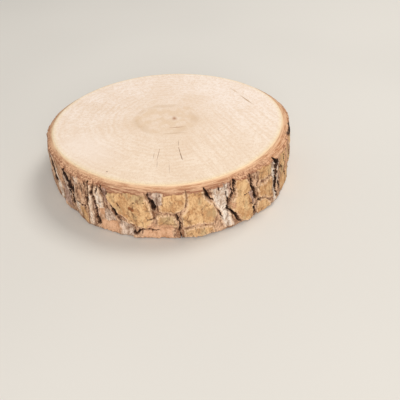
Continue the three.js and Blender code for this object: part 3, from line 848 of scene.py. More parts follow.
class Sheet:
    """A material's node tree, filled in one node at a time, and the colour laid on it so far."""

    def __init__(self, name: str) -> None:
        """Starts a material with an empty tree, its output and its shader."""
        self.material = bpy.data.materials.new(name)
        self.material.use_nodes = True
        self.tree = self.material.node_tree
        self.tree.nodes.clear()
        output = self.tree.nodes.new("ShaderNodeOutputMaterial")
        self.shader = self.tree.nodes.new("ShaderNodeBsdfPrincipled")
        self.tree.links.new(self.shader.outputs[0], output.inputs["Surface"])
        self.place = self.tree.nodes.new("ShaderNodeTexCoord").outputs["Object"]
        self.colour: Tint = (0.0, 0.0, 0.0)

    def put(self, target: Socket, value: Number | Sequence[float]) -> None:
        """Links a socket to another, or sets its number or colour.

        Args:
            target: the socket that takes it.
            value: the other socket, or the number, or the numbers of a vector or colour.
        """
        if isinstance(value, bpy.types.NodeSocket):
            self.tree.links.new(value, target)
        elif isinstance(value, (int, float)):
            target.default_value = value
        else:
            size = len(target.default_value)
            target.default_value = (*value, 1.0)[:size] if size == 4 else tuple(value)

    def add(self, kind: str, inputs: dict[int | str, Number | Sequence[float]],
            output: int | str = 0, **settings: object) -> Socket:
        """Adds a node.

        Args:
            kind: the node's type, without the word that all of them start with.
            inputs: what goes into each of its sockets.
            output: the socket that is wanted.
            settings: the node's own properties.

        Returns:
            That output socket.
        """
        node = self.tree.nodes.new("ShaderNode" + kind)
        for label, setting in settings.items():
            setattr(node, label, setting)
        for label, value in inputs.items():
            self.put(node.inputs[label], value)
        return node.outputs[output]

    def value(self, name: str) -> Socket:
        """Reads a named number of the mesh."""
        return self.add("Attribute", {}, "Fac", attribute_name=name)

    def axis(self, name: str) -> Socket:
        """Reads how far the place lies along an axis, in metres."""
        return self.add("SeparateXYZ", {0: self.place}, name)

    def move(self, place: Socket, **change: Sequence[float]) -> Socket:
        """Moves, turns or scales places about the origin."""
        return self.add("Mapping", {"Vector": place, **change})

    def cloud(self, place: Socket, detail: float, **more: float) -> Socket:
        """Adds plain noise at a scale of 1 in given places."""
        return self.add("TexNoise", {"Vector": place, "Scale": 1.0, "Detail": detail, **more}, "Fac")

    def noise(self, noise: Noise) -> Socket:
        """Adds noise in the piece's own coordinates."""
        scale = tuple(1.0 / (noise.size * MM * pull) for pull in noise.stretch)
        turned = self.move(self.place, Rotation=(0, 0, math.radians(noise.spin)))
        return self.cloud(self.move(turned, Scale=scale), noise.detail, Distortion=noise.skew)

    def ramp(self, factor: Socket, ramp: Ramp) -> Socket:
        """Eases a number by a ramp."""
        return self.add("MapRange", {"Value": factor, "From Min": ramp.low, "From Max": ramp.high,
                                     "To Min": ramp.start, "To Max": ramp.end},
                        interpolation_type="SMOOTHSTEP")

    def patch(self, patch: Patch) -> Socket:
        """Eases noise by a ramp, which makes patches of it."""
        return self.ramp(self.noise(patch[0]), patch[1])

    def band(self, factor: Socket, rise: Ramp, fall: Ramp) -> Socket:
        """Eases a number up by one ramp and down by another."""
        return self.times(self.ramp(factor, rise), self.ramp(factor, fall))

    def fold(self, operation: str, values: Sequence[Number]) -> Number:
        """Works out numbers one after another by the same operation.

        Args:
            operation: the operation.
            values: the numbers.

        Returns:
            The result.
        """
        result = values[0]
        for value in values[1:]:
            result = self.add("Math", {0: result, 1: value}, operation=operation)
        return result

    def times(self, *values: Number) -> Number:
        """Multiplies numbers."""
        return self.fold("MULTIPLY", values)

    def plus(self, *values: Number) -> Number:
        """Adds up numbers."""
        return self.fold("ADD", values)

    def weigh(self, values: Sequence[Socket], weights: Sequence[float]) -> Number:
        """Adds up numbers, each times its weight."""
        return self.plus(*(self.times(value, weight) for value, weight in zip(values, weights)))

    def saw(self, factor: Socket, count: float) -> Socket:
        """Runs from 0 to 1 again and again, that many times in one."""
        return self.fold("FRACT", (self.times(factor, count), 0.0))

    def vector(self, operation: str, first: Socket, second: Sequence[float] = (0, 0, 0),
               output: int | str = 0) -> Socket:
        """Works out two vectors."""
        return self.add("VectorMath", {0: first, 1: second}, output, operation=operation)

    def mix(self, factor: Socket, first: Tint, second: Tint) -> Socket:
        """Mixes two colours."""
        return self.add("Mix", {0: factor, 6: first, 7: second}, 2, data_type="RGBA")

    def cover(self, tint: Tint, *shares: Number) -> None:
        """Lays a colour over the one so far, as strongly as the product of the shares."""
        self.colour = self.mix(self.times(*shares), self.colour, tint)

    def finish(self, mesh: bpy.types.Mesh, roughness: Number, shine: float,
               bumps: Sequence[tuple[Socket, float]] = ()) -> None:
        """Puts the colour and the rest on the shader, and the material on the mesh.

        Args:
            mesh: the mesh.
            roughness: how rough it is.
            shine: how strongly it mirrors, from 0 to 1.
            bumps: heights from 0 to 1, each with its size in mm.
        """
        normal = {}
        for height, size in bumps:
            inputs = {"Height": height, "Distance": size * MM, "Strength": 1.0, **normal}
            normal = {"Normal": self.add("Bump", inputs)}
        look = {"Base Color": self.colour, "Roughness": roughness, "Specular IOR Level": shine, **normal}
        for label, value in look.items():
            self.put(self.shader.inputs[label], value)
        mesh.materials.append(self.material)


@dataclass(frozen=True)
class Mark:
    """An oval mark on the face: middle and half sizes in mm, turn, share of soft edge, strength, colour."""

    middle: Pair
    reach: Pair
    spin: float
    soft: float
    amount: float
    tint: Colour

    def lay(self, sheet: Sheet, form: BranchForm) -> None:
        """Lays the mark over the face's colour.

        Args:
            sheet: the material.
            form: the slice's shape.
        """
        moved = sheet.move(sheet.place, Location=-MM * form.framed(*self.middle, 0)[0])
        turned = sheet.move(moved, Rotation=(0, 0, -math.radians(self.spin)))
        scaled = sheet.move(turned, Scale=(1 / self.reach[0] / MM, 1 / self.reach[1] / MM, 0))
        distance = sheet.vector("LENGTH", scaled, output="Value")
        sheet.cover(self.tint, sheet.ramp(distance, Ramp(1.0, 1.0 - self.soft)), self.amount)


@dataclass(frozen=True)
class WoodFinish:
    """Dry sanded end grain: pale, with faint rings, rays and marks of the saw.

    Ramps named for a side run along X or Y in metres.
    """

    pale: Colour = linear(251, 236, 224)
    late: Colour = linear(232, 204, 176)
    heart: Colour = linear(228, 198, 164)
    warm: Colour = linear(246, 224, 196)
    margin: Colour = linear(249, 228, 186)
    pith: Colour = linear(178, 120, 80)
    stain: Colour = linear(204, 172, 136)
    # Dark brown of painted shade in the drying checks and their fine ends
    split: Colour = linear(120, 76, 48)
    warm_front: Ramp = Ramp(0.02, -0.045, 0.0, 0.65)
    wander: Noise = Noise(7.0, 3.0)
    ring_pull: float = 0.1
    ring_count: float = 21.0
    ring_rise: Ramp = Ramp(0.3, 0.85)
    ring_fall: Ramp = Ramp(1.0, 0.9)
    ring_seen: Patch = (Noise(13.0, 2.0), Ramp(0.42, 0.62, 0.04, 0.42))
    calm_right: Ramp = Ramp(0.006, 0.02, 1.0, 0.35)
    slow_count: float = 9.5
    slow_rise: Ramp = Ramp(0.5, 0.86)
    slow_left: Ramp = Ramp(0.012, -0.02, 0.06, 0.24)
    clouds: Patch = (Noise(15.0, 3.0), Ramp(0.42, 0.66, 0.0, 0.3))
    inner: Ramp = Ramp(0.7, 0.2, 0.0, 0.35)
    heart_pull: float = 0.5
    heart_fill: Ramp = Ramp(1.06, 0.9)
    heart_blotch: Patch = (Noise(4.0, 3.0), Ramp(0.42, 0.6, 0.05, 0.55))
    heart_rise: Ramp = Ramp(0.74, 0.96)
    heart_fall: Ramp = Ramp(1.16, 1.0)
    heart_edge: Patch = (Noise(7.0, 1.0), Ramp(0.42, 0.58, 0.05, 0.34))
    outermost: Ramp = Ramp(0.955, 0.995, 0.0, 0.45)
    ray_count: float = 60
    ray_detail: float = 3.0
    ray_seen: Ramp = Ramp(0.52, 0.7, 0.0, 0.4)
    ray_breaks: Patch = (Noise(8.0, 2.0), Ramp(0.42, 0.62))
    sawn: Noise = Noise(0.9, 1.5, (20, 1, 1), 66.0)
    sawn_seen: Ramp = Ramp(0.5, 0.62, 0.0, 0.36)
    sawn_right: Ramp = Ramp(-0.012, 0.012, 0.08, 1.0)
    sawn_front: Ramp = Ramp(0.02, -0.002, 0.12, 1.0)
    mottle: Patch = (Noise(1.1, 3.0), Ramp(0.44, 0.62, 0.0, 0.42))
    pores: Noise = Noise(0.28, 2.0)
    pores_seen: Ramp = Ramp(0.55, 0.68, 0.0, 0.42)
    roughness: Ramp = Ramp(0.3, 0.7, 0.62, 0.8)
    shine: float = 0.3
    bumps: tuple[float, ...] = (0.02, 0.03, 0.015, 0.02)

    def dress(self, piece: bpy.types.Object, form: BranchForm, pith: Pair, marks: Sequence[Mark]) -> None:
        """Gives the wood its material.

        Rings are a saw wave of the growth number, pulled about by slow noise. Rays are noise on the
        direction from the pith. Marks are listed ovals.

        Args:
            piece: the wood.
            form: the slice's shape.
            pith: where the pith is.
            marks: the marks.
        """
        sheet = Sheet("sanded_end_grain")
        x, y = sheet.axis("X"), sheet.axis("Y")
        growth = sheet.value("growth")
        swing = sheet.plus(sheet.noise(self.wander), -0.5)
        pulled = sheet.plus(growth, sheet.times(swing, self.ring_pull))
        ring = sheet.band(sheet.saw(pulled, self.ring_count), self.ring_rise, self.ring_fall)
        calm_right = sheet.ramp(x, self.calm_right)
        slow = sheet.band(sheet.saw(pulled, self.slow_count), self.slow_rise, self.ring_fall)
        heart = sheet.plus(sheet.value("heart"), sheet.times(swing, self.heart_pull))
        sheet.colour = sheet.mix(sheet.ramp(y, self.warm_front), self.pale, self.warm)
        sheet.cover(self.late, sheet.patch(self.ring_seen), calm_right, ring)
        sheet.cover(self.late, slow, sheet.ramp(x, self.slow_left))
        sheet.cover(self.late, sheet.patch(self.clouds))
        sheet.cover(self.heart, sheet.ramp(pulled, self.inner))
        sheet.cover(self.heart, sheet.ramp(heart, self.heart_fill), sheet.patch(self.heart_blotch))
        edge = sheet.band(heart, self.heart_rise, self.heart_fall)
        sheet.cover(self.stain, edge, sheet.patch(self.heart_edge))
        sheet.cover(self.margin, sheet.ramp(growth, self.outermost))

        away = sheet.vector("SUBTRACT", sheet.place, form.framed(*pith, 0)[0] * MM)
        towards = sheet.vector("NORMALIZE", sheet.vector("MULTIPLY", away, (1, 1, 0)))
        rays = sheet.cloud(sheet.vector("MULTIPLY", towards, [self.ray_count] * 3), self.ray_detail)
        sheet.cover(self.late, sheet.ramp(rays, self.ray_seen), sheet.patch(self.ray_breaks), calm_right)

        sawn, pores = sheet.noise(self.sawn), sheet.noise(self.pores)
        sheet.cover(self.late, sheet.ramp(sawn, self.sawn_seen), sheet.ramp(x, self.sawn_right),
                    sheet.ramp(y, self.sawn_front))
        sheet.cover(self.late, sheet.patch(self.mottle))
        sheet.cover(self.stain, sheet.ramp(pores, self.pores_seen))
        for mark in marks:
            mark.lay(sheet, form)
        # Painted shade in the drying checks, darker where they are deeper
        sheet.cover(self.split, sheet.value("split"))
        bumps = zip((sawn, pores, ring, rays), self.bumps)
        sheet.finish(piece.data, sheet.ramp(pores, self.roughness), self.shine, tuple(bumps))


@dataclass(frozen=True)
class BarkFinish:
    """Dry bark: scaly ochre plates, grey lichen, smooth inner bark and a layered sanded chamfer.

    Ramps named for a side run along X in metres, and those named for layers run out from the wood in mm.
    """

    # The brown and mauve tones are warmed partly as painted warm bounce light, which the pale floor doesn't
    # give
    tones: dict[BarkKind, tuple[Colour, Colour]] = field(default_factory=lambda: {
        BROWN: (linear(150, 108, 80), linear(232, 192, 158)),
        MAUVE: (linear(156, 120, 102), linear(218, 184, 166)),
        PEACH: (linear(196, 146, 110), linear(232, 186, 150)),
        OCHRE: (linear(194, 144, 98), linear(234, 194, 144)),
        GREY: (linear(172, 142, 120), linear(232, 208, 188)),
        LICHEN: (linear(194, 164, 140), linear(253, 238, 222)),
    })
    moss: Colour = linear(182, 162, 124)
    fleck: Colour = linear(128, 86, 60)
    broken: Colour = linear(244, 208, 174)
    knot: Colour = linear(150, 92, 54)
    # Near black painted shade for the depths of cracks, and a dark wall colour that is also used as painted
    # shade
    pit_shade: Colour = linear(34, 20, 13)
    crack_wall_and_shade: Colour = linear(96, 62, 43)
    cream: Colour = linear(248, 222, 184)
    phloem: Colour = linear(228, 184, 146)
    layer: Colour = linear(192, 138, 102)
    flake: Colour = linear(228, 180, 143)
    bast: Colour = linear(178, 122, 82)
    crust: Colour = linear(148, 96, 70)
    # Painted shadow line where the chamfer meets the outside, also painted shade in the chamfer's scale gaps
    lip_shade: Colour = linear(140, 84, 58)

    broad: Noise = Noise(2.4, 4.0, (1, 1, 1.6), 0.0, 0.4)
    fine: Noise = Noise(0.55, 3.0, (1, 1, 1.6))
    grit: Noise = Noise(0.22, 2.0, (1, 1, 1.4))
    speckle: Pair = (0.6, 0.4)
    grain: Pair = (0.4, 0.6)
    tone_pull: float = 0.06
    tone: Ramp = Ramp(0.4, 0.6)
    mossy: Patch = (Noise(4.5, 3.0, (1, 1, 1.5)), Ramp(0.52, 0.66, 0.0, 0.5))
    ragged: Ramp = Ramp(0.4, 0.6, 0.2, 0.9)
    flecks: Patch = (Noise(0.9, 4.0, (1, 1, 2.0), 0.0, 0.6), Ramp(0.56, 0.68, 0.0, 0.6))
    smooth: Ramp = Ramp(0.0, 1.0, 1.0, 0.45)
    knot_heart: float = 0.6
    knot_grain: Ramp = Ramp(0.3, 0.55, 0.5, 1.0)
    lichen_calm: float = 0.5
    calm: Ramp = Ramp(0.8, 0.0)
    # Painted shade of fine creases, weaker where the bark is calm
    crease_shade: Patch = (Noise(0.6, 3.0, (1, 1, 4.0), 0.0, 0.8), Ramp(0.56, 0.66, 0.0, 0.75))
    # Painted shade in the gaps between scales and round plates
    gap_shade: float = 0.65
    solid: Ramp = Ramp(1.0, 0.0)
    # Painted crack shade: dark brown up the walls, near black in the depths
    wall_dark: Ramp = Ramp(0.0, 0.5, 0.0, 0.95)
    pit_dark: Ramp = Ramp(0.4, 0.85)
    pit_grain: Ramp = Ramp(0.38, 0.5, 0.45, 1.0)
    pit_fibres: Patch = (Noise(0.5, 3.0, (1, 1, 5.0), 0.0, 0.5), Ramp(0.5, 0.64, 1.0, 0.2))

    line_length: float = 6.0
    line_width: float = 0.42
    line_detail: float = 3.0
    line_rough: float = 0.6
    line_skew: float = 0.3
    band_lines: Ramp = Ramp(0.42, 0.64)
    crust_layers: Ramp = Ramp(0.8, 2.7, 0.0, 0.8)
    crust_lines: Ramp = Ramp(0.38, 0.56, 0.3, 1.0)
    crust_left: Ramp = Ramp(-0.02, -0.034, 1.0, 0.45)
    fresh_right: Ramp = Ramp(0.028, 0.041, 1.0, 0.2)
    specks: Ramp = Ramp(0.54, 0.7, 0.0, 0.5)
    flaky_layers: Ramp = Ramp(0.8, 2.0)
    scales: Pair = (0.8, 0.1)
    high_scales: Ramp = Ramp(0.4, 0.5)
    low_scales: Ramp = Ramp(0.4, 0.3, 0.0, 0.6)
    # Painted shade in the gaps between scales on the chamfer
    scale_gap_shade: float = 0.4
    bast_lines: Ramp = Ramp(0.5, 0.6)
    bast_layers: Ramp = Ramp(0.5, 1.2)
    bast_right: Ramp = Ramp(0.024, 0.038, 0.0, 0.75)
    cream_layers: Ramp = Ramp(1.0, 0.05)
    lip_shade_grain: Ramp = Ramp(0.4, 0.56, 0.2, 0.85)
    # Grain that breaks up the painted black shadow band
    limb_shadow_grain: Ramp = Ramp(0.3, 0.5, 0.5, 1.0)
    roughness: Ramp = Ramp(0.3, 0.7, 0.75, 0.95)
    shine: float = 0.25
    bumps: Triple = (0.3, 0.18, 0.08)

    def dress(self, piece: bpy.types.Object, knots: Sequence[tuple[Array, float]]) -> None:
        """Gives the bark its material.

        Each kind is two tones, mixed by the scale's own tone and by noise, and laid where its number says.
        Moss grey comes over it in patches, plates get pale broken edges, and flecks darken it. Painted shade
        darkens fine creases and the gaps between scales and round plates. Cracks are darkened to black,
        partly by a dark wall colour and partly by painted shade. The chamfer is covered by lines that run
        round the rim, a dark crust farther out, pale scales with painted shade in their gaps, and a painted
        shadow line where it meets the outside. A painted black shadow band lies beside the chamfer near the
        right limb.

        Args:
            piece: the bark.
            knots: reddish brown spots: the middle of each and its reach, in metres.
        """
        sheet = Sheet("dry_bark")
        broad, fine, grit = (sheet.noise(noise) for noise in (self.broad, self.fine, self.grit))
        speckle = sheet.weigh((fine, grit), self.speckle)
        grain = sheet.weigh((broad, speckle), self.grain)
        scale, gap = sheet.value("tone"), sheet.value("gap")
        kinds = {kind: sheet.value(kind.value) for kind in self.tones if kind is not BROWN}
        tone = sheet.ramp(sheet.plus(grain, sheet.times(scale, self.tone_pull)), self.tone)
        sheet.colour = sheet.mix(tone, *self.tones[BROWN])
        for kind, share in kinds.items():
            sheet.cover(sheet.mix(tone, *self.tones[kind]), share)
        sheet.cover(self.moss, sheet.patch(self.mossy), kinds[OCHRE])
        sheet.cover(self.broken, sheet.value("rim"), sheet.ramp(fine, self.ragged))
        rough = sheet.ramp(kinds[PEACH], self.smooth)
        sheet.cover(self.fleck, sheet.patch(self.flecks), rough)
        for middle, reach in knots:
            away = sheet.vector("DISTANCE", sheet.place, middle, "Value")
            spot = sheet.ramp(away, Ramp(reach, self.knot_heart * reach))
            sheet.cover(self.knot, spot, sheet.ramp(fine, self.knot_grain))
        calm = sheet.plus(kinds[OCHRE], kinds[PEACH], sheet.times(kinds[LICHEN], self.lichen_calm))
        # Painted shade of fine creases, less where the bark is calm
        sheet.cover(self.crack_wall_and_shade, sheet.patch(self.crease_shade), sheet.ramp(calm, self.calm))
        # Painted shade in the gaps between scales and round plates
        sheet.cover(self.crack_wall_and_shade, gap, self.gap_shade, rough)
        chamfer = sheet.value("chamfer")
        # Cracks: a dark wall colour with painted shade up their walls, and near black painted shade in their
        # depths
        dark = sheet.times(sheet.value("dark"), sheet.ramp(chamfer, self.solid))
        sheet.cover(self.crack_wall_and_shade, sheet.ramp(dark, self.wall_dark))
        sheet.cover(self.pit_shade, sheet.ramp(dark, self.pit_dark), sheet.ramp(grain, self.pit_grain),
                    sheet.patch(self.pit_fibres))

        wall = sheet.colour
        x, y, layer = sheet.axis("X"), sheet.axis("Y"), sheet.value("layer")
        along = 1 / (self.line_length * MM)
        rim_place = sheet.add("CombineXYZ", {0: sheet.times(x, along), 1: sheet.times(y, along),
                                             2: sheet.times(layer, 1 / self.line_width)})
        lines = sheet.cloud(rim_place, self.line_detail, Roughness=self.line_rough,
                            Distortion=self.line_skew)
        fresh = sheet.ramp(x, self.fresh_right)
        outer = sheet.times(sheet.ramp(layer, self.flaky_layers), sheet.value("flaky"))
        scales = sheet.weigh((fine, scale), self.scales)
        sheet.colour = sheet.mix(sheet.ramp(lines, self.band_lines), self.phloem, self.layer)
        sheet.cover(self.crust, sheet.ramp(layer, self.crust_layers), sheet.ramp(lines, self.crust_lines),
                    sheet.ramp(x, self.crust_left), fresh)
        sheet.cover(self.cream, sheet.ramp(speckle, self.specks), fresh)
        sheet.cover(self.flake, sheet.ramp(scales, self.high_scales), outer)
        sheet.cover(self.crust, sheet.ramp(scales, self.low_scales), outer, fresh)
        # Painted shade in the gaps between scales on the chamfer
        sheet.cover(self.lip_shade, gap, outer, self.scale_gap_shade)
        sheet.cover(self.bast, sheet.ramp(lines, self.bast_lines), sheet.ramp(layer, self.bast_layers),
                    sheet.ramp(x, self.bast_right))
        sheet.cover(self.cream, sheet.ramp(layer, self.cream_layers))
        sheet.colour = sheet.mix(chamfer, wall, sheet.colour)
        # Painted shadow line where the chamfer meets the outside
        sheet.cover(self.lip_shade, sheet.value("lip_shade"), sheet.ramp(broad, self.lip_shade_grain))
        # Painted black shadow band beside the chamfer near the right limb
        sheet.cover(self.pit_shade, sheet.value("limb_shadow"), sheet.ramp(fine, self.limb_shadow_grain))
        bumps = zip((broad, fine, grit), self.bumps)
        sheet.finish(piece.data, sheet.ramp(fine, self.roughness), self.shine, tuple(bumps))


@dataclass(frozen=True)
class Warp:
    """A pull on places by noise, which makes edges ragged: how far, the noise's cells, and two seeds."""

    size: float
    across: float
    along: float
    octaves: int
    seeds: tuple[int, int]

    def shift(self, form: BranchForm, angle: Array, height: Array) -> Iterator[Array]:
        """Yields how far places move round the edge, in degrees, and up it, in mm."""
        for reach, seed in zip((form.spin(self.size), self.size), self.seeds):
            yield reach * Grain(self.across, self.along, self.octaves, seed).at(angle, height)


@dataclass
class BarkRing:
    """The bark: a closed ring from the wood's edge out, with its cracks, plates and chamfer.

    Sizes are mm. Four numbers together are where something starts and ends to rise, then to fall.
    """

    form: BranchForm
    cracks: Sequence[Crack]
    hairs: Sequence[Crack]
    plates: Sequence[Plate]
    stains: Sequence[Plate]
    finish: BarkFinish = BarkFinish()
    knots: tuple[Triple, ...] = ((-104.9, 11.7, 1.0), (-103.9, 11.4, 0.9), (-111.3, 12.2, 0.5))
    knot_reach: float = 0.8
    columns: int = 1100
    chamfer_rows: int = 15
    chamfer_depth: float = 2.3
    wall_rows: int = 62
    foot_rows: int = 4
    edge: float = 0.4
    wall: Pair = (0.4, 1.0)
    warp: Warp = Warp(0.75, 2.2, 2.8, 4, (3, 11))
    jag: Warp = Warp(0.4, 0.8, 0.9, 2, (101, 107))
    tear: Warp = Warp(0.5, 0.9, 1.3, 2, (13, 17))
    smooth: float = 0.6
    lump: float = 0.16
    lumps: Grain = Grain(2.4, 4.0, 4, 21)
    fibre: float = 0.07
    fibres: Grain = Grain(0.55, 3.0, 2, 31)
    flakes: tuple[Flakes, ...] = (
        Flakes(2.6, 5.6, 61, 0.2, 0.24, 0.14), Flakes(1.2, 2.2, 71, 0.08, 0.1, 0.06),
    )
    flake_tone: float = 0.5
    flake_edge: float = 0.14
    open_edge: Pair = (-0.1, 0.4)
    openings: Grain = Grain(3.5, 5.5, 2, 91)
    seam: float = 0.3
    seam_place: tuple[float, ...] = (-0.65, -0.3, -0.15, 0.05)
    seam_open: Pair = (-0.35, 0.25)
    seams: Grain = Grain(2.6, 2.6, 2, 97)
    broken_place: tuple[float, ...] = (-0.1, 0.15, 0.3, 0.9)
    swell: Pair = (0.95, 0.85)
    swells: Grain = Grain(1.5, 2.2, 3, 81)
    # How strongly hair cracks take the painted crack shade
    hair_dark: float = 0.75
    ragged: float = 0.5
    rags: Grain = Grain(1.1, 1.1, 3, 103)
    chamfer_soft: float = 0.12
    # Widths of the painted shadow line at the chamfer's outer edge
    lip_shade: Pair = (0.05, 0.45)
    flaky: tuple[Pair, ...] = ((-176, -117), (-62, -8), (35, 80), (112, 150))
    flaky_soft: float = 4
    # Where a painted black shadow band lies: its angles, then its middle and widths beyond the chamfer
    limb_shadow: tuple[float, ...] = (-17, -14, -5, -2)
    limb_shadow_middle: float = 0.3
    limb_shadow_width: Pair = (0.3, 0.8)

    def heights(self) -> Array:
        """Returns the heights of the rows down the outside, close together on the chamfer."""
        shoulder = self.form.thickness - self.chamfer_depth
        top = self.form.thickness - self.chamfer_depth * (np.arange(self.chamfer_rows) / self.chamfer_rows)
        wall = shoulder * (1 - np.arange(self.wall_rows + 1) / self.wall_rows)
        return np.concatenate([top, wall])

    def lay_plates(self, angle: Array, height: Array) -> tuple[Array, Array, dict[str, Array]]:
        """Lays the plates and the stains one over another.

        Args:
            angle: angles of the places, in one row.
            height: their heights.

        Returns:
            How far the plates stand out in mm, how far each place is in the gap round one, and the share of
            each kind of bark and of broken rim, by name.
        """
        out, seam = np.zeros(angle.shape), np.zeros(angle.shape)
        names = [kind.value for kind in BarkKind if kind is not BROWN]
        values = {name: np.zeros(angle.shape) for name in (*names, "rim")}
        for plate in (*self.plates, *self.stains):
            index, share, depth = self.form.plate_share(angle, height, plate, self.edge)
            out[index] += plate.rise * share
            for name, number in values.items():
                number[index] = number[index] * (1 - share) + share * (name == plate.kind.value)
            for number, place in ((values["rim"], self.broken_place), (seam, self.seam_place)):
                number[index] = np.maximum(number[index], hump(depth, *place) * (plate.rise > 0))
        return out, seam, values

    def relief(self, angle: Array, height: Array) -> tuple[Array, dict[str, Array]]:
        """Works out the bark's surface before the chamfer cuts it.

        Places are first pulled about by noise, so that cracks and plates get ragged edges. The thickness is
        then the solid's own, plus plates, less cracks, plus lumps, fibres and scales, large and small, that
        stand at their own heights, lean, and have a gap at their edge.

        Args:
            angle: angles of the places, in one row.
            height: their heights.

        Returns:
            The thickness in mm, and the named numbers that the material reads.
        """
        form = self.form
        here = (angle, height)
        pulled = [place + shift for place, shift in zip(here, self.warp.shift(form, *here))]
        jagged, torn = ([place + shift for place, shift in zip(pulled, warp.shift(form, *here))]
                        for warp in (self.jag, self.tear))
        out, seam, values = self.lay_plates(*pulled)
        swell = self.swell[0] + self.swell[1] * self.swells.at(*here)
        (cut, mouth), (hair, hair_mouth) = (form.crack_cut(*jagged, cracks, self.wall, swell)
                                            for cracks in (self.cracks, self.hairs))
        rough = 1 - self.smooth * values["peach"]
        thickness = form.bark_thickness(*here) + form.ripple(*here) + out
        thickness += rough * self.lump * self.lumps.at(*here) + self.fibre * self.fibres.at(*here)
        values["tone"], values["gap"] = np.zeros(angle.shape), np.zeros(angle.shape)
        open_edge = ease(*self.open_edge, self.openings.at(*here))
        for flakes in self.flakes:
            tone, lean, inward = flakes.at(*torn)
            gap = (1 - ease(0.0, self.flake_edge, inward)) * open_edge * flakes.gap
            thickness += rough * (flakes.rise * tone + flakes.lean * lean - gap)
            values["tone"] += self.flake_tone * tone
            values["gap"] = np.maximum(values["gap"], gap / self.flakes[0].gap)
        # The seam round a raised plate is cut in, and its gap is also painted with shade
        seam = seam * ease(*self.seam_open, self.seams.at(*here))
        thickness -= self.seam * seam
        values["gap"] = np.maximum(values["gap"], seam)
        # Where cracks and hair cracks are painted dark with shade
        values["dark"] = np.maximum(mouth, self.hair_dark * hair_mouth)
        return np.maximum(form.least, thickness - cut - hair), values

    def surface(self, angle: Array, height: Array) -> tuple[Array, dict[str, Array]]:
        """Works out the bark's outside, cut by the chamfer.

        Args:
            angle: angles of the places, in one row.
            height: their heights.

        Returns:
            The radius in mm, and the named numbers that the material reads.
        """
        thickness, values = self.relief(angle, height)
        wood = self.form.wood_radius(angle)
        bark = wood + thickness - self.form.foot_arris(height)
        radius = self.form.cut_by_chamfer(wood, bark, height)
        past = bark - self.form.chamfer(wood, height) + self.ragged * self.rags.at(angle, height)
        values["chamfer"] = ease(-self.chamfer_soft, self.chamfer_soft, past)
        # A painted shadow line where the chamfer meets the outside
        values["lip_shade"] = 1 - ease(*self.lip_shade, np.abs(past))
        values["layer"] = radius - wood
        # A painted black shadow band beside the chamfer, between -17 and -2 degrees
        near_limb_shadow = 1 - ease(*self.limb_shadow_width, np.abs(past - self.limb_shadow_middle))
        values["limb_shadow"] = hump(angle, *self.limb_shadow) * near_limb_shadow
        soft = self.flaky_soft
        values["flaky"] = sum(hump(angle, start - soft, start + soft, end - soft, end + soft)
                              for start, end in self.flaky)
        return radius, values

    def build(self) -> bpy.types.Object:
        """Builds the ring: out over the chamfer, down the bark, in under the foot and up the wood's edge."""
        rows, angle = self.heights(), all_round(self.columns)
        wood = self.form.wood_radius(angle)
        radius, values = self.surface(*(grid.ravel() for grid in np.meshgrid(angle, rows)))
        outer = radius.reshape(len(rows), self.columns)
        shares = np.arange(1, self.foot_rows + 1)[:, None] / self.foot_rows
        foot = outer[-1] + (wood - outer[-1]) * shares
        radii = np.vstack([outer, foot])
        levels = np.concatenate([rows, np.zeros(self.foot_rows)])[:, None] + np.zeros(self.columns)
        points = self.form.framed(*polar(radii, angle), levels)
        faces = ring_faces(len(radii), self.columns, closed=True)
        flat = np.arange(len(faces)) >= (len(rows) - 1) * self.columns
        under = {"chamfer": np.ones(foot.size), "layer": (foot - wood).ravel()}
        numbers = {label: np.concatenate([number, under.get(label, np.zeros(foot.size))])
                   for label, number in values.items()}
        return skin("bark_ring", points, faces, flat, numbers)

    def make(self) -> bpy.types.Object:
        """Builds, dresses and fastens the bark."""
        piece = self.build()
        reach = self.form.bark + self.knot_reach
        self.finish.dress(piece, [(self.form.framed(*polar(reach, angle), height)[0] * MM, size * MM)
                                  for angle, height, size in self.knots])
        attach(piece, "root")
        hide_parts(NODE)
        return piece


@dataclass(frozen=True)
class Check:
    """A drying check in the wood: where it starts and ends, its half width and its depth, in mm."""

    start: Pair
    end: Pair
    half: float
    deep: float


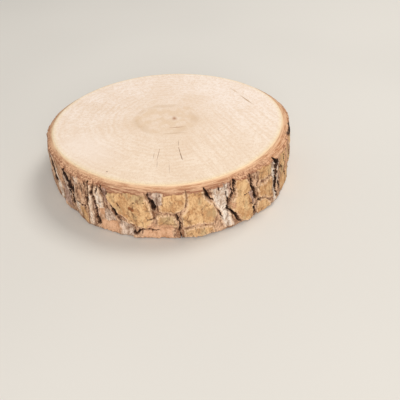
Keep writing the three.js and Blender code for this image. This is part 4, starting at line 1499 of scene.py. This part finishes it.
@dataclass
class WoodDisc:
    """The sawn wood: two flat faces on a grid of rays and rings that spread from the pith.

    The heart is an oval, given by its middle and its half sizes in mm.
    """

    form: BranchForm
    finish: WoodFinish = WoodFinish()
    pith: Pair = (2.3, 0.5)
    heart: tuple[Pair, Pair] = ((-0.9, 0.5), (12.2, 11.5))
    checks: tuple[Check, ...] = (
        Check((4.1, -20.8), (4.6, -24.2), 0.13, 0.4), Check((4.6, -24.2), (5.5, -29.1), 0.15, 0.52),
        Check((-2.5, -21.2), (-3.2, -28.8), 0.12, 0.36), Check((0.6, -6.5), (5.6, -6.25), 0.15, 0.3),
    )
    check_taper: Pair = (0.08, 0.92)
    check_least: float = 0.35
    check_floor: float = 0.2
    # The depth at which the painted shade in a check is full
    check_shade_depth: float = 0.6
    columns: int = 420
    fine_checks: tuple[int, ...] = (1, 2)
    window: float = 3.0
    window_step: float = 0.2
    rings: int = 165
    under_rings: int = 10
    overlap: float = 0.02
    steps: int = 20

    def rays(self) -> Array:
        """Returns the rays' angles: evenly spread, and closer together where a long check runs."""
        rays = [all_round(self.columns)]
        for check in (self.checks[number] for number in self.fine_checks):
            across, up = ((start + end) / 2 - pith
                          for start, end, pith in zip(check.start, check.end, self.pith))
            middle = math.degrees(math.atan2(up, across))
            rays.append(np.arange(middle - self.window, middle + self.window, self.window_step))
        merged = np.sort(np.concatenate(rays))
        return merged[np.concatenate([[True], np.diff(merged) > self.window_step / 3])]

    def from_pith(self, far: Array, rays: Array) -> tuple[Array, Array]:
        """Returns the x and the y of places that far from the pith along the rays."""
        x, y = polar(far, rays)
        return self.pith[0] + x, self.pith[1] + y

    def reach(self, rays: Array) -> Array:
        """Finds how far each ray runs from the pith to the wood's outline, closing in by repeated steps.

        Args:
            rays: the rays' angles.

        Returns:
            The length of each, and a little more, so that the edge lies inside the bark.
        """
        far = self.form.wood_radius(rays)
        for _ in range(self.steps):
            x, y = self.from_pith(far, rays)
            far = far + self.form.wood_radius(np.degrees(np.arctan2(y, x))) - np.hypot(x, y)
        return far + self.overlap

    def split(self, x: Array, y: Array) -> tuple[Array, Array]:
        """Finds the drying checks: V grooves that taper towards their ends.

        Args:
            x: places across the face.
            y: places up the face.

        Returns:
            How deep the face is cut in mm, and how dark the painted shade in it is there, from 0 to 1.
        """
        depth, dark = np.zeros(x.shape), np.zeros(x.shape)
        for check in self.checks:
            (start_x, start_y), (end_x, end_y) = check.start, check.end
            along, away = off_line(x - start_x, y - start_y, end_x - start_x, end_y - start_y)
            swell = np.sin(math.pi * between(*self.check_taper, along))
            width = check.half * between(self.check_least, 1, swell)
            share = 1 - ease(self.check_floor * width, width, away)
            depth = np.maximum(depth, check.deep * share)
            dark = np.maximum(dark, np.minimum(1.0, check.deep / self.check_shade_depth) * share)
        return depth, dark

    def build(self) -> bpy.types.Object:
        """Builds the disc: out over the top face, down the edge and in under the foot."""
        rays = self.rays()
        top = np.arange(1, self.rings + 1)[:, None] / self.rings
        under = np.arange(self.under_rings, 0, -1)[:, None] / self.under_rings
        growth = np.vstack([top, under])
        x, y = self.from_pith(growth * self.reach(rays), rays)
        depth, dark = self.split(x, y)
        (heart_x, heart_y), (wide, high) = self.heart
        oval = np.hypot((x - heart_x) / wide, (y - heart_y) / high)
        upper = (np.arange(len(growth)) < self.rings)[:, None]
        z = np.where(upper, self.form.thickness - depth, 0.0)
        rings = self.form.framed(x, y, z)
        hubs = [self.form.framed(*self.pith, level) for level in (self.form.thickness, 0.0)]
        points = np.vstack([rings, *hubs])
        column = np.arange(len(rays))
        beside = (column + 1) % len(rays)
        last = (len(growth) - 1) * len(rays)
        top_hub, under_hub = (np.full(len(rays), len(rings) + number) for number in (0, 1))
        first_fan = np.stack([top_hub, column, beside, beside], axis=1)
        last_fan = np.stack([last + column, under_hub, last + beside, last + beside], axis=1)
        faces = np.vstack([ring_faces(len(growth), len(rays), closed=False), first_fan, last_fan])
        flat = np.zeros(len(faces), dtype=bool)
        flat[(self.rings - 1) * len(rays):self.rings * len(rays)] = True
        numbers = {"growth": growth + 0 * x, "split": np.where(upper, dark, 0.0), "heart": oval}
        values = {label: np.concatenate([number.ravel(), [0.0, 0.0]]) for label, number in numbers.items()}
        return skin("wood_disc", points, faces, flat, values)

    def marks(self) -> tuple[Mark, ...]:
        """Lists the marks on the face: the pith, spots, scars and the fine ends of checks, which are lines
        of painted shade.
        """
        look = self.finish
        return (
            Mark(self.pith, (1.4, 2.4), 5.0, 0.95, 0.7, look.pith),
            Mark(self.pith, (0.6, 0.9), 0.0, 0.9, 0.25, look.split),
            Mark((-28.0, -19.0), (22.0, 13.0), -48.0, 0.95, 0.5, look.pale),
            Mark((-19.4, -34.6), (0.38, 0.34), 0.0, 0.6, 0.85, look.split),
            Mark((31.3, 13.8), (7.4, 0.5), -63.0, 0.9, 0.95, look.stain),
            Mark((31.0, 14.4), (5.6, 0.22), -63.0, 0.9, 0.45, look.split),
            Mark((27.0, 22.8), (5.0, 0.6), -60.0, 0.9, 0.55, look.stain),
            Mark((14.2, -13.2), (0.4, 0.3), 0.0, 0.9, 0.5, look.pith),
            Mark((20.4, -5.2), (0.35, 0.3), 0.0, 0.9, 0.4, look.pith),
            Mark((3.4, -8.6), (5.0, 1.9), 2.0, 0.95, 0.35, look.heart),
            Mark((2.4, -10.9), (6.0, 0.75), 2.0, 0.95, 0.6, look.stain),
            Mark((3.3, -6.5), (3.8, 0.5), 3.0, 0.95, 0.7, look.pith),
            Mark((4.05, -18.2), (2.8, 0.18), 91.0, 0.9, 0.6, look.split),
            Mark((-3.0, -31.4), (2.8, 0.18), 90.0, 0.9, 0.55, look.split),
            Mark((-4.4, -26.0), (3.4, 0.18), 86.0, 0.9, 0.45, look.split),
            Mark((1.15, -34.0), (4.2, 0.18), 93.0, 0.9, 0.4, look.split),
            Mark((12.0, -18.6), (0.35, 0.3), 0.0, 0.9, 0.4, look.pith),
        )

    def make(self) -> bpy.types.Object:
        """Builds, dresses and fastens the wood."""
        piece = self.build()
        self.finish.dress(piece, self.form, self.pith, self.marks())
        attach(piece, "root")
        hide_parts(NODE)
        return piece


@dataclass(frozen=True)
class Lamp:
    """A soft square light: its place and width in metres, its power in watts, and its colour."""

    name: str
    place: Triple
    width: float
    power: float
    colour: Colour

    def hang(self) -> None:
        """Adds the light, facing the middle of the slice."""
        data = bpy.data.lights.new(self.name, "AREA")
        data.energy, data.size, data.color = self.power, self.width, self.colour
        turned = Vector(self.place).to_track_quat("Z", "Y").to_matrix().to_4x4()
        show(self.name, data).matrix_world = Matrix.Translation(self.place) @ turned


@dataclass
class Studio:
    """The plain pale floor, the soft lights and the camera.

    The lens, its sensor and the camera's place are mm. The nearest distance seen, or clip, and the floor's
    sizes are metres.
    """

    form: BranchForm
    lens: float = 46.8
    sensor: float = 36.0
    clip_start: float = 0.01
    camera_place: Triple = (10.88, -177.82, 114.21)
    pitch: float = 37.0
    roll: float = -2.3
    floor_reach: float = 3.0
    floor_drop: float = 0.0003
    floor_tone: Colour = linear(226, 222, 215)
    floor_dark: float = 0.97
    floor_cloud: Patch = (Noise(120.0, 1.0), Ramp(0.3, 0.7))
    floor_rough: float = 0.9
    floor_shine: float = 0.5
    sky: Colour = (1.0, 0.985, 0.96)
    sky_strength: float = 0.4
    lamps: tuple[Lamp, ...] = (
        Lamp("key_light", (0.26, 0.22, 0.62), 0.3, 2.2, (1.0, 0.98, 0.95)),
        Lamp("fill_light", (0.06, -0.64, 0.36), 0.4, 3.0, (1.0, 0.97, 0.94)),
    )

    def set_camera(self) -> None:
        """Stands the camera where the view was taken from, looking down and slightly rolled."""
        data = bpy.data.cameras.new("camera")
        data.lens, data.sensor_width, data.clip_start = self.lens, self.sensor, self.clip_start
        camera = bpy.context.scene.camera = show("camera", data)
        place = Matrix.Translation(self.form.framed(*self.camera_place)[0] * MM)
        tilted = Matrix.Rotation(math.radians(90 - self.pitch), 4, "X")
        rolled = Matrix.Rotation(math.radians(self.roll), 4, "Z")
        camera.matrix_world = place @ tilted @ rolled

    def lay_floor(self) -> None:
        """Lays a pale matt floor just under the slice."""
        mesh = bpy.data.meshes.new("floor")
        corners = [(x * self.floor_reach, y * self.floor_reach, -self.floor_drop)
                   for x, y in ((-1, -1), (1, -1), (1, 1), (-1, 1))]
        mesh.from_pydata(corners, [], [(0, 1, 2, 3)])
        floor = show("floor", mesh)
        sheet = Sheet("pale_floor")
        sheet.colour = self.floor_tone
        sheet.cover([self.floor_dark * value for value in self.floor_tone], sheet.patch(self.floor_cloud))
        sheet.finish(mesh, self.floor_rough, self.floor_shine)

    def light(self) -> None:
        """Sets the even light of the room and hangs the lamps."""
        world = bpy.data.worlds.new("room")
        world.use_nodes = True
        background = world.node_tree.nodes["Background"]
        background.inputs["Color"].default_value = (*self.sky, 1.0)
        background.inputs["Strength"].default_value = self.sky_strength
        bpy.context.scene.world = world
        for lamp in self.lamps:
            lamp.hang()

    def make(self) -> None:
        """Sets the view, the floor and the lights."""
        self.set_camera()
        self.lay_floor()
        self.light()
        bpy.context.scene.view_settings.view_transform = "Standard"


def main() -> None:
    """Builds the studio, the bark and the wood in order and reports each."""
    logging.basicConfig(level=logging.INFO)
    form, rule = BranchForm(), FarRule()
    draw = draws(rule.seed)
    long_cracks = rule.long_cracks(draw)
    plates = (*NEAR_PLATES, *rule.plates(draw, long_cracks))
    cracks = (*NEAR_CRACKS, *long_cracks, *rule.short_cracks(draw, long_cracks))
    hairs = (*HAIR_CRACKS, *rule.hair_cracks())
    Studio(form).make()
    for part in (BarkRing(form, cracks, hairs, plates, NEAR_STAINS), WoodDisc(form)):
        piece = part.make()
        LOG.info("%s: %d faces", piece.name, len(piece.data.polygons))


if __name__ == "__main__":
    main()
